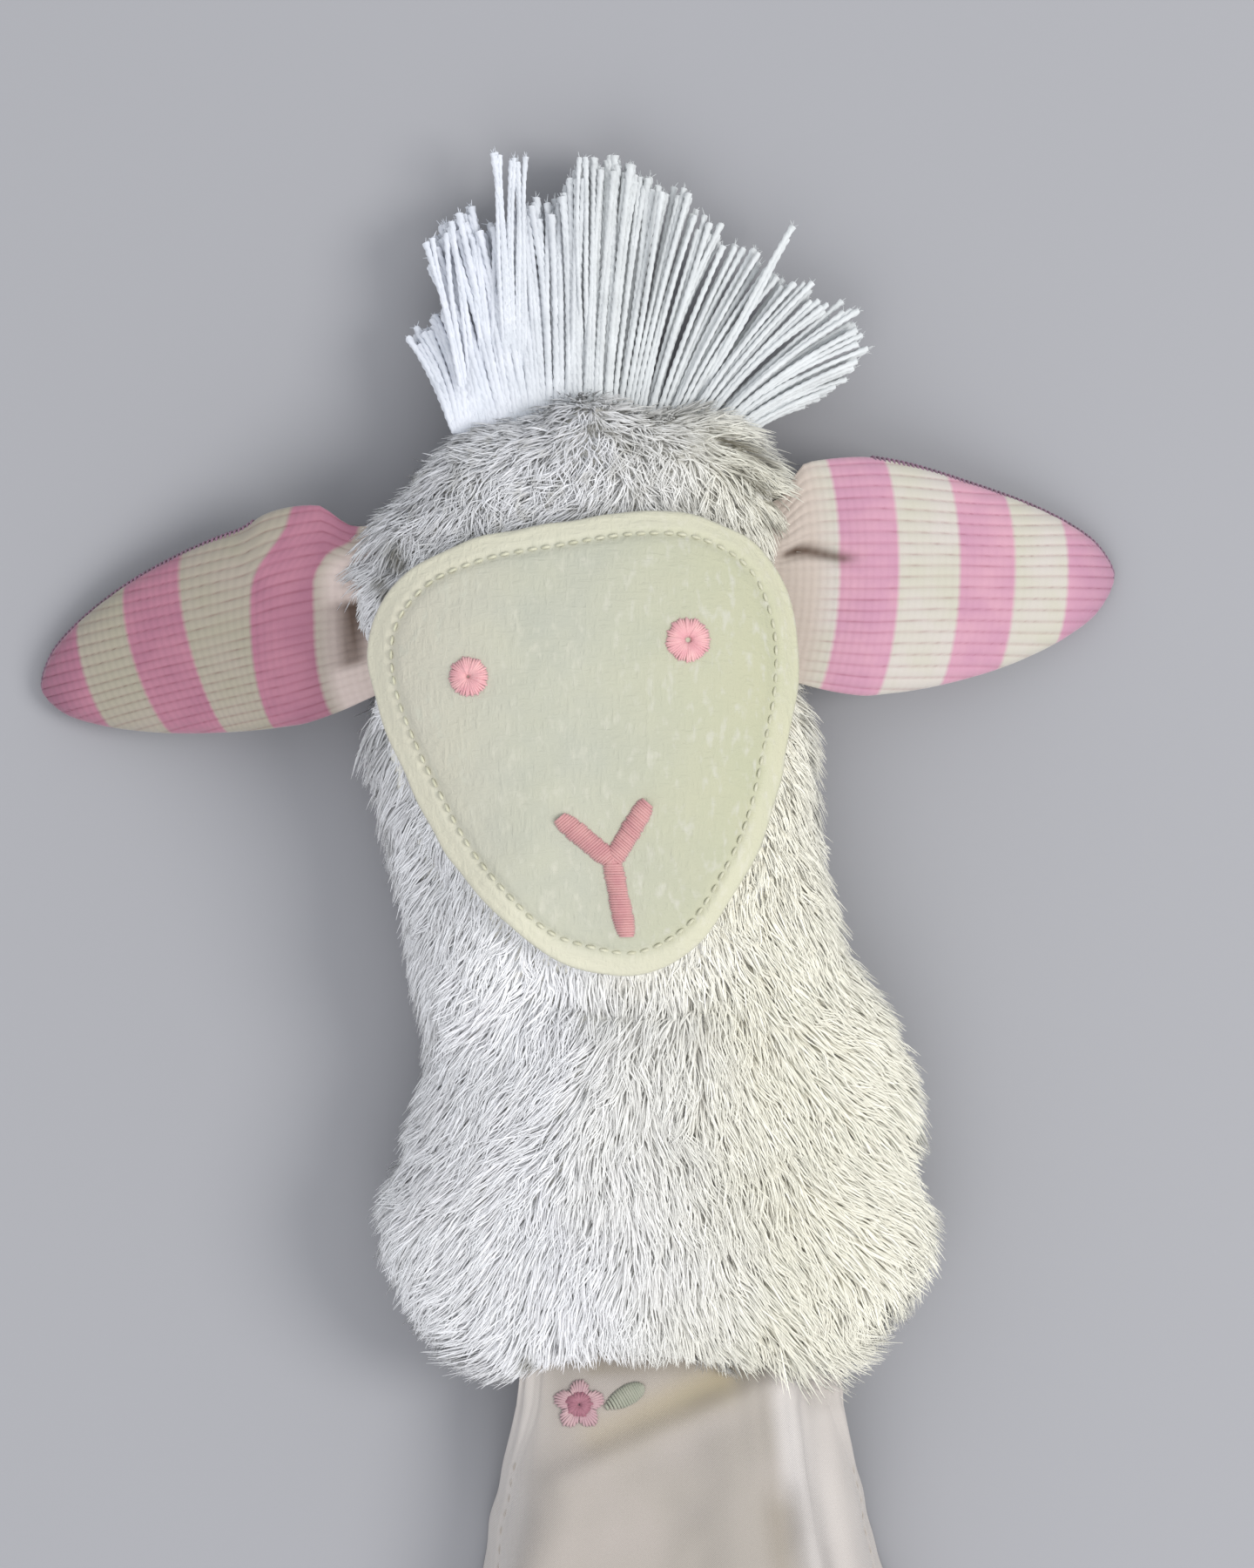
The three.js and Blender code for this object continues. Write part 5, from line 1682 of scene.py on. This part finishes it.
def make_ear_seam(side, place, up, stations, half):
    """Overcast stitches along the upper edge, where the ear's two knits meet."""
    width = half * ear_shoulder(side, stations) - ear_sag(side, stations)
    edge = np.stack([stations, up * width, 0 * stations], -1)
    run = run_along(edge)
    at = np.linspace(1, run[-1] - 1, int(run[-1] / OVERCAST_PITCH))
    s = np.linspace(-1, 1, STITCH_STEPS)
    wrap = np.pi / 2 * s
    inward = unit(np.array([-0.25, -up, 0]))
    paths = at_places(at[:, None] + OVERCAST_LEAN * s, run, edge)
    paths += inward * (OVERCAST_INSET - OVERCAST_REACH * np.cos(wrap))[:, None]
    paths[..., 2] += OVERCAST_RISE * np.sin(wrap)
    return make_threads(f"ear_{side}_seam", moved(place, paths + (EAR_MIDDLE, 0, 0)),
                        OVERCAST_RADIUS, OVERCAST_SIDES, SEAM_THREAD)


# Mane

def make_mane():
    """The yarns from the crown's seam, in layers, twisted and with frayed ends."""
    s = np.linspace(0, 1, YARN_STEPS)
    share = np.concatenate([
        np.linspace(0, MANE_PARTING, LEFT_YARNS, endpoint=False),
        np.linspace(MANE_PARTING, 1, RIGHT_YARNS),
    ])
    paths = np.concatenate([mane_paths(share, s), tuft_paths(s)], 0)
    total = len(paths)
    thin = np.full((total, 1), RIGHT_YARN_SHARE)
    thin[:len(share), 0] = lerp(1, RIGHT_YARN_SHARE, smoothstep(share, *YARN_THINNING_SHARES))
    swell = YARN_RADIUS * rng.uniform(*YARN_WIDTHS, (total, 1)) * thin
    frayed = 1 + YARN_FRAY_GAIN * smoothstep(s, YARN_FRAY_START_SHARE, 1)
    radii = swell * lerp(YARN_ROOT_SHARE, 1, smoothstep(s, 0, YARN_ROOT_END_SHARE)) * frayed
    steps = np.linalg.norm(np.diff(paths, axis=1), axis=2)
    run = np.concatenate([np.zeros((total, 1)), np.cumsum(steps, axis=1)], 1)
    twist = 2 * np.pi * run / YARN_TWIST + rng.uniform(0, 6, (total, 1))
    points, faces = tubes(paths, radii, YARN_SIDES, twist=twist, lobes=YARN_LOBES,
                          reference=(0.0, 0.05, 1.0))
    upwards = np.array([0, 0, 1.0])
    normals = softened_normals(points, paths, YARN_SIDES, upwards, YARN_SOFT_NORMALS)
    mane = make("mane_yarns", points, faces, YARN, None,
                tube_uv(total, YARN_STEPS, YARN_SIDES), normals)
    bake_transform(mane)
    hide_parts("mane_tape", "mane_yarn_front", "mane_yarn_back")

    fray = make_fray(paths)
    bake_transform(fray)


def mane_paths(share, s):
    """A yarn for each share of the way along the mane, from its roots to its tips."""
    roots, tips = catmull(MANE_ROOTS, CURVE_STEPS), catmull(MANE_TIPS, CURVE_STEPS)
    run = run_along(tips)
    count = len(share)
    tip = at_places(run[-1] * share, run, tips) + rng.normal(0, YARN_TIP_SCATTER, (count, 2))
    root = at_places(share * (CURVE_STEPS - 1), np.arange(CURVE_STEPS), roots)
    layer = np.where(share < MANE_PARTING, np.arange(count) % 4, 0.5 + np.arange(count) % 3)
    reach = (tip - root) * rng.uniform(*YARN_LENGTH_SHARES, count)[:, None]
    bow = np.interp(share, *np.transpose(MANE_BOW_SHARES))
    bow = (bow + rng.normal(0, MANE_BOW_SPREAD, count))[:, None] * np.sin(np.pi * s)
    across = np.stack([-reach[:, 1], reach[:, 0]], -1)
    flat = root[:, None] + reach[:, None] * s[:, None] + across[:, None] * bow[..., None]
    drop = YARN_DROP * s**DROP_POWER * (1 + YARN_DROP_SPREAD * rng.normal(0, 1, (count, 1)))
    level = SEAM_HEIGHT + MANE_RISE - YARN_LAYER * layer[:, None]
    height = level + YARN_ARCH * np.sin(np.pi * np.minimum(s * 2, 1)) - drop
    height = height + YARN_WAVE * np.sin(7 * s + rng.uniform(0, 6, (count, 1))) * s
    return np.concatenate([flat, height[..., None]], -1)


def tuft_paths(s):
    """The yarns that stand out past the rest: the tall fan, then the other tufts."""
    (x0, y0), (x1, y1) = TUFT_FAN
    ends = [((x0 + TUFT_FAN_ROOT_SHARE * x, y0),
             (x1 + x + TUFT_FAN_STAGGER * (k % 2), y1 - (0.8 * k * k) % 3.1))
            for k, x in enumerate(np.linspace(*TUFT_FAN_ASIDE, TUFT_FAN_YARNS))]
    for (x0, y0), (x1, y1), root_share, slope, aside in TUFTS:
        ends += [((x0 + root_share * x, y0), (x1 + x, y1 + slope * x)) for x in aside]
    paths = []
    for (x0, y0), (x1, y1) in ends:
        sway = TUFT_SWAY * np.sin(4 * s + 1.7 * x1)
        rise = TUFT_RISES[0 if x0 < 0 else 1]
        paths.append(np.stack([lerp(x0, x1, s) + sway * s**2, lerp(y0, y1, s),
                               SEAM_HEIGHT + rise - TUFT_DROP * s**DROP_POWER], -1))
    return np.array(paths)


def make_fray(paths):
    """Loose threads where the yarns are cut."""
    tips = np.repeat(paths[:, -1], FRAY_PER_YARN, 0)[:, None]
    way = np.repeat(unit(paths[:, -1] - paths[:, -4]), FRAY_PER_YARN, 0)
    count = len(tips)
    way = unit(way + rng.normal(0, FRAY_SPREAD, (count, 3)))[:, None]
    length = rng.uniform(*FRAY_LENGTHS, count)[:, None, None]
    s = np.linspace(0, 1, FRAY_STEPS)[None, :, None]
    curl = rng.normal(0, FRAY_CURL, (count, 1, 3))
    fray = tips - way * FRAY_START + length * (way * s + curl * s**2)
    fray[..., 2] = np.maximum(fray[..., 2], FLOOR_SKIM)
    return make_threads("mane_frayed_ends", fray, FRAY_RADII, STRAND_SIDES, YARN)


# Blanket

CLOTH_TOP = LAYER_GAP / 2 + CLOTH_THICKNESS
WAIST_SECTION = catmull(WAIST_SECTION_SHARES, SECTION_STEPS)
HEM_SECTION = catmull(HEM_SECTION_SHARES, SECTION_STEPS)


def section(table, across):
    """A section's x and z shares, by the share of the way across."""
    at = across * (len(table) - 1)
    return tuple(np.interp(at, np.arange(len(table)), table[:, i]) for i in (0, 1))


def blanket_middle(across, drop):
    """A point between the two cloths: across is 0 to 1, drop the way down from the heading."""
    down = np.clip((drop - SHEET_START) / (BLANKET_LENGTH - SHEET_START), 0, 1)
    fan = lerp(down**2, down, FAN_START_SHARE)
    half = lerp(WAIST_HALF_WIDTH, HEM_HALF_WIDTH, fan)
    (wx, wz), (hx, hz) = section(WAIST_SECTION, across), section(HEM_SECTION, across)
    blend = smoothstep(down, 0, 1)
    sx, sz = lerp(wx, hx, blend), lerp(wz, hz, blend)
    floor = FLOOR_CLEARANCE + CLOTH_TOP - SEAM_HEIGHT
    low = lerp(-WAIST_CREST / 2, floor, smoothstep(drop, SHEET_START, SHEET_START + LANDING_LENGTH))
    bunch = lerp(WAIST_CREST / 2, BUNCH_CREST - SEAM_HEIGHT, smoothstep(drop, 0, BUNCHING_LENGTH))
    high = lerp(bunch, HEM_CREST - SEAM_HEIGHT, smoothstep(down, BUNCH_END_SHARE, 1))
    x = lerp(HEADING_CENTRE_X, HEM_CENTRE_X, down) + sx * half
    spread = LEFT_EDGE_SPREAD * np.exp(-(((drop - LEFT_EDGE_DROP) / LEFT_EDGE_RUN) ** 2))
    x -= spread * smoothstep(-across, -LEFT_EDGE_SHARE, 0)
    z = lerp(low, high, sz)
    return np.stack([x, WAIST[1] - drop, SEAM_HEIGHT + z], -1)


def cloth_relief(points, across, drop):
    """The small folds and gathers that the plain form leaves out."""
    down = np.clip(drop / BLANKET_LENGTH, 0, 1)
    gather = np.sin(across * 2 * np.pi * GATHERS + 2.2 * np.sin(across * 9 + 0.02 * drop))
    near_lap = np.exp(-(((across - LAP) / LAP_WIDTH) ** 2))
    calm = 1 - LAP_CALM * near_lap * (1 - smoothstep(drop, *LAP_FADE))
    fine = GATHER_DEPTH * gather * np.exp(-np.clip(drop, 0, None) / GATHER_LENGTH) * calm
    rays = np.sin(across * 2 * np.pi * RAYS + 1.1 * np.sin(4 * down + 5 * across))
    soft = RAY_DEPTH * rays * smoothstep(down, *RAY_GROWTH) * calm
    folds = sum(rise * ridge(points, a, b, width) for a, b, width, rise in CLOTH_FOLDS)
    soft = soft + folds * smoothstep(np.minimum(across, 1 - across), 0, 0.08)
    crumple = sum(depth * wobble(points, size, seed) * smoothstep(down, *growth)
                  for depth, size, seed, growth in CRUMPLES)
    return fine + soft + crumple


def hem_relief(across, drop, width):
    """A doubled hem with its row of stitching, by the distance in from the edge."""
    from_side = np.minimum(across, 1 - across) * width
    gap = np.minimum(from_side, BLANKET_LENGTH - drop)
    doubled = HEM_RISE * smoothstep(-gap, -HEM_INSET - 1, -HEM_INSET)
    return doubled - HEM_DENT * np.exp(-(((gap - HEM_INSET) / HEM_DENT_WIDTH) ** 2))


def cloth_shades(across, drop, surface):
    """The shares of painted light and of painted shadow, for both faces of a cloth."""
    # Painted light: lighter to the right and along the left edge, fading on the way down
    left = 1 - smoothstep(across, *LEFT_PAINTED_LIGHT_SHARES)
    painted_light_share = smoothstep(across, *PAINTED_LIGHT_SHARES) + LEFT_PAINTED_LIGHT_STRENGTH * left
    painted_light_share *= 1 - smoothstep(drop, *PAINTED_LIGHT_FADE)
    painted_light_share *= 1 - 0.5 * smoothstep(across, *PAINTED_LIGHT_DIM_SHARES)
    shades = {"painted_light_share": painted_light_share}
    # Painted shadow along each line
    for name, lines in CLOTH_PAINTED_SHADOWS.items():
        shades[name] = np.max([share * ridge(surface, a, b, w, fade=0.5)
                               for a, b, w, share in lines], 0)
    return {name: np.tile(shade.ravel(), 2) for name, shade in shades.items()}


def make_blanket():
    """The two cloths with their folds, the hem's stitches and the flower."""
    lower_rows = BLANKET_ROWS - BLANKET_UPPER_ROWS
    drops = np.concatenate([
        np.linspace(-BLANKET_TURN_IN, BLANKET_UPPER_LENGTH, BLANKET_UPPER_ROWS, endpoint=False),
        np.linspace(BLANKET_UPPER_LENGTH, BLANKET_LENGTH, lower_rows),
    ])
    across, drop = np.meshgrid(np.linspace(0, 1, BLANKET_COLUMNS), drops)
    middle = blanket_middle(across, np.maximum(drop, 0))
    middle[..., 1] = WAIST[1] - drop
    tucked = SEAM_HEIGHT + TURN_IN_CREST_SHARE * (middle[..., 2] - SEAM_HEIGHT)
    middle[..., 2] = lerp(middle[..., 2], tucked, smoothstep(-drop, *TURN_IN_RUN))
    up = unit(np.cross(np.gradient(middle, axis=1), -np.gradient(middle, axis=0)))
    width = np.linalg.norm(np.diff(middle, axis=1), axis=2).sum(1)[:, None]
    low_room = np.clip(middle[..., 2] - FLOOR_CLEARANCE - CLOTH_TOP, 0, None)
    relief = np.maximum(cloth_relief(middle, across, drop), -low_room)
    surface = middle + up * relief[..., None]
    edge = hem_relief(across, drop, width)
    shades = cloth_shades(across, drop, surface)
    layers = {
        "blanket_top_cloth": (LAYER_GAP / 2, CLOTH_TOP + edge),
        "blanket_lining_cloth": (-CLOTH_TOP, -LAYER_GAP / 2),
    }
    for name, (low, high) in layers.items():
        sheets = [surface + up * (level + 0 * relief)[..., None] for level in (high, low)]
        points, faces = closed_sheet(*sheets)
        points[:, 2] = np.maximum(points[:, 2], FLOOR_CLEARANCE)
        cloth = make(name, points, faces, CLOTH, shades)
        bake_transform(cloth)
    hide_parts("blanket_top", "blanket_heading")
    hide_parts("blanket_lining")

    stitches = make_hem_stitches(surface, up, drops, width[:, 0])
    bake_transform(stitches)
    make_flower(surface, up)


def closed_sheet(top, bottom):
    """One closed body from two grids of points, the first above the second."""
    rows, columns = top.shape[:2]
    count = rows * columns
    points = np.vstack([top.reshape(-1, 3), bottom.reshape(-1, 3)])
    index = np.arange(count).reshape(rows, columns)
    rim = np.concatenate([index[0], index[1:-1, -1], index[-1, ::-1], index[-2:0:-1, 0]])
    following = np.roll(rim, -1)
    side = np.stack([rim, following, following + count, rim + count], -1)
    faces = [grid_faces(rows, columns, flip=True), grid_faces(rows, columns, start=count),
             side]
    return points, faces


def sampled(grid, across, row):
    """Points of a grid at fractional places: across 0 to 1, row in rows."""
    rows, columns = grid.shape[:2]
    c = np.clip(across, 0, 1) * (columns - 1)
    r = np.clip(row, 0, rows - 1)
    c0, r0 = np.minimum(c.astype(int), columns - 2), np.minimum(r.astype(int), rows - 2)
    fc, fr = (c - c0)[..., None], (r - r0)[..., None]
    near = lerp(grid[r0, c0], grid[r0, c0 + 1], fc)
    far = lerp(grid[r0 + 1, c0], grid[r0 + 1, c0 + 1], fc)
    return lerp(near, far, fr)


def make_hem_stitches(surface, up, drops, width):
    """Running stitches a little inside the blanket's three free edges."""
    rows = np.arange(len(drops))
    downs = np.linspace(HEM_STITCH_START, BLANKET_LENGTH - HEM_INSET, CURVE_STEPS)
    row = np.interp(downs, drops, rows)
    side = HEM_INSET / np.interp(row, rows, width)
    bottom = np.linspace(side[-1], 1 - side[-1], CURVE_STEPS)
    route_across = np.concatenate([side, bottom, 1 - side[::-1]])
    route_row = np.concatenate([row, np.full(CURVE_STEPS, row[-1]), row[::-1]])
    flat = sampled(surface, route_across, route_row)
    normal = sampled(up, route_across, route_row)
    run = run_along(flat)
    count = int(run[-1] / HEM_STITCH_PITCH)
    s = np.linspace(0, 1, HEM_STITCH_STEPS)
    at = run[-1] * (np.arange(count) / count)[:, None] + HEM_STITCH_LENGTH * s
    rise = CLOTH_TOP - HEM_STITCH_SINK + HEM_STITCH_RISE * np.sin(np.pi * s)
    paths = at_places(at, run, flat) + at_places(at, run, normal) * rise[:, None]
    return make_threads("blanket_hem_stitches", paths, HEM_STITCH_RADIUS, HEM_STITCH_SIDES,
                        HEM_THREAD)


def box_middle(node):
    """The middle of a solid, seen from above."""
    low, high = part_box(node)
    return np.array([(a + b) / 2 / MM for a, b in zip(low, high)])[:2]


def above_cloth(surface, up, centre):
    """A function that gives the points above the cloth near centre."""
    flat, normals = surface.reshape(-1, 3), up.reshape(-1, 3)
    tree = KDTree(len(flat))
    for i, (x, y, _) in enumerate(flat):
        if abs(x - centre[0]) < CLOTH_SEARCH[0] and abs(y - centre[1]) < CLOTH_SEARCH[1]:
            tree.insert(Vector((x, y, 0)), i)
    tree.balance()

    def place(x, y, rise):
        points = []
        for px, py, h in zip(np.ravel(x), np.ravel(y), np.ravel(rise + 0 * x)):
            near = tree.find_n(Vector((px, py, 0)), 4)
            weight = np.array([1 / (d + 0.05) for _, _, d in near])
            weight /= weight.sum()
            index = [i for _, i, _ in near]
            normal = unit((normals[index] * weight[:, None]).sum(0))
            z = (flat[index, 2] * weight).sum()
            points.append(np.array([px, py, z]) + normal * (CLOTH_TOP + h + STITCH_SINK))
        return np.array(points).reshape(np.shape(x) + (3,))

    return place


def make_flower(surface, up):
    """A small stitched flower of five petals, and its leaf, just below the torso."""
    centre = box_middle("flower_embroidery") + FLOWER_SHIFT
    leaf = box_middle("leaf_embroidery") + LEAF_SHIFT
    place = above_cloth(surface, up, centre)
    petal_starts, petal_ends, heart_starts, heart_ends = [], [], [], []
    for petal in range(PETALS):
        for k in np.linspace(-1, 1, PETAL_THREADS):
            angle = 2 * np.pi * petal / PETALS + FLOWER_TURN + PETAL_HALF_ANGLE * k
            out = np.array([math.cos(angle), math.sin(angle)])
            reach = PETAL_REACH * (1 - PETAL_ROUNDING * k**2) * rng.uniform(0.97, 1.03)
            petal_starts.append(centre + PETAL_START * out)
            petal_ends.append(centre + reach * out)
            heart_starts.append(centre + HEART_HOLE * out)
            heart_ends.append(centre + HEART_RADIUS * rng.uniform(0.85, 1.15) * out)
    petals = satin("flower_petals", petal_starts, petal_ends, PETAL_RISE, PALE_ROSE_THREAD, place)
    heart = satin("flower_heart", heart_starts, heart_ends, HEART_RISE, ROSE_THREAD, place)

    way = np.array([math.cos(LEAF_ANGLE), math.sin(LEAF_ANGLE)])
    over = np.array([-way[1], way[0]])
    share = np.linspace(-0.95, 0.95, LEAF_THREADS)[:, None]
    half = LEAF_HALF_WIDTH * (1 - share**2) ** 0.7 + LEAF_END_HALF_WIDTH
    spine = leaf + LEAF_HALF_LENGTH * share * way
    leaf_stitches = satin("leaf_stitches", spine - half * (over - LEAF_SLANT * way),
                          spine + half * (over + LEAF_SLANT * way), LEAF_RISE, LEAF_THREAD, place)
    for piece, slot in ((petals, "flower_thread"), (heart, "flower_thread"),
                        (leaf_stitches, "leaf_thread")):
        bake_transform(piece)
    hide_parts("flower_embroidery")
    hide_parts("leaf_embroidery")


# Stage

def make_stage():
    """The plain floor that the toy lies on."""
    material, _, shader = finish("pale_floor", 0.9)
    shader.inputs["Base Color"].default_value = linear(*FLOOR_TONE)
    corners = [(x * FLOOR_REACH, y * FLOOR_REACH, -FLOOR_SINK)
               for x, y in ((-1, -1), (1, -1), (1, 1), (-1, 1))]
    make("floor", corners, [np.array([[0, 1, 2, 3]])], material)


def make_lamp(name, place, size, power, color):
    """A round lamp that points at the toy. place and size are in metres."""
    lamp = bpy.data.lights.new(name, "AREA")
    lamp.shape = "DISK"
    lamp.size = size
    lamp.energy = power
    lamp.color = color
    obj = bpy.data.objects.new(name, lamp)
    obj.location = place
    obj.rotation_euler = (Vector(LAMP_TARGET) - obj.location).to_track_quat("-Z", "Y").to_euler()
    bpy.context.scene.collection.objects.link(obj)


def make_light():
    scene = bpy.context.scene
    scene.world = bpy.data.worlds.new("studio")
    scene.world.use_nodes = True
    background = scene.world.node_tree.nodes["Background"]
    background.inputs["Color"].default_value = SKY_TONE
    background.inputs["Strength"].default_value = SKY_STRENGTH
    for name, lamp in LAMPS.items():
        make_lamp(name, *lamp)
    scene.view_settings.view_transform = "Standard"


def make_camera():
    """A camera that looks straight down and shows what the photo shows."""
    scene = bpy.context.scene
    data = bpy.data.cameras.new("camera")
    camera = bpy.data.objects.new("camera", data)
    scene.collection.objects.link(camera)
    scene.camera = camera
    x = (PHOTO_SIZE_PX[0] / 2 - PHOTO_ORIGIN_PX[0]) / PX_PER_MM
    y = (PHOTO_ORIGIN_PX[1] - PHOTO_SIZE_PX[1] / 2) / PX_PER_MM
    camera.location = (x * MM, y * MM, CAMERA_HEIGHT * MM)
    data.sensor_fit = "VERTICAL"
    data.sensor_height = SENSOR_HEIGHT
    seen = PHOTO_SIZE_PX[1] / PX_PER_MM
    data.lens = SENSOR_HEIGHT * (CAMERA_HEIGHT - SEAM_HEIGHT) / seen


make_camera()
make_light()
make_stage()
make_plush()
make_face()
make_ear("right")
make_ear("left")
make_mane()
make_blanket()
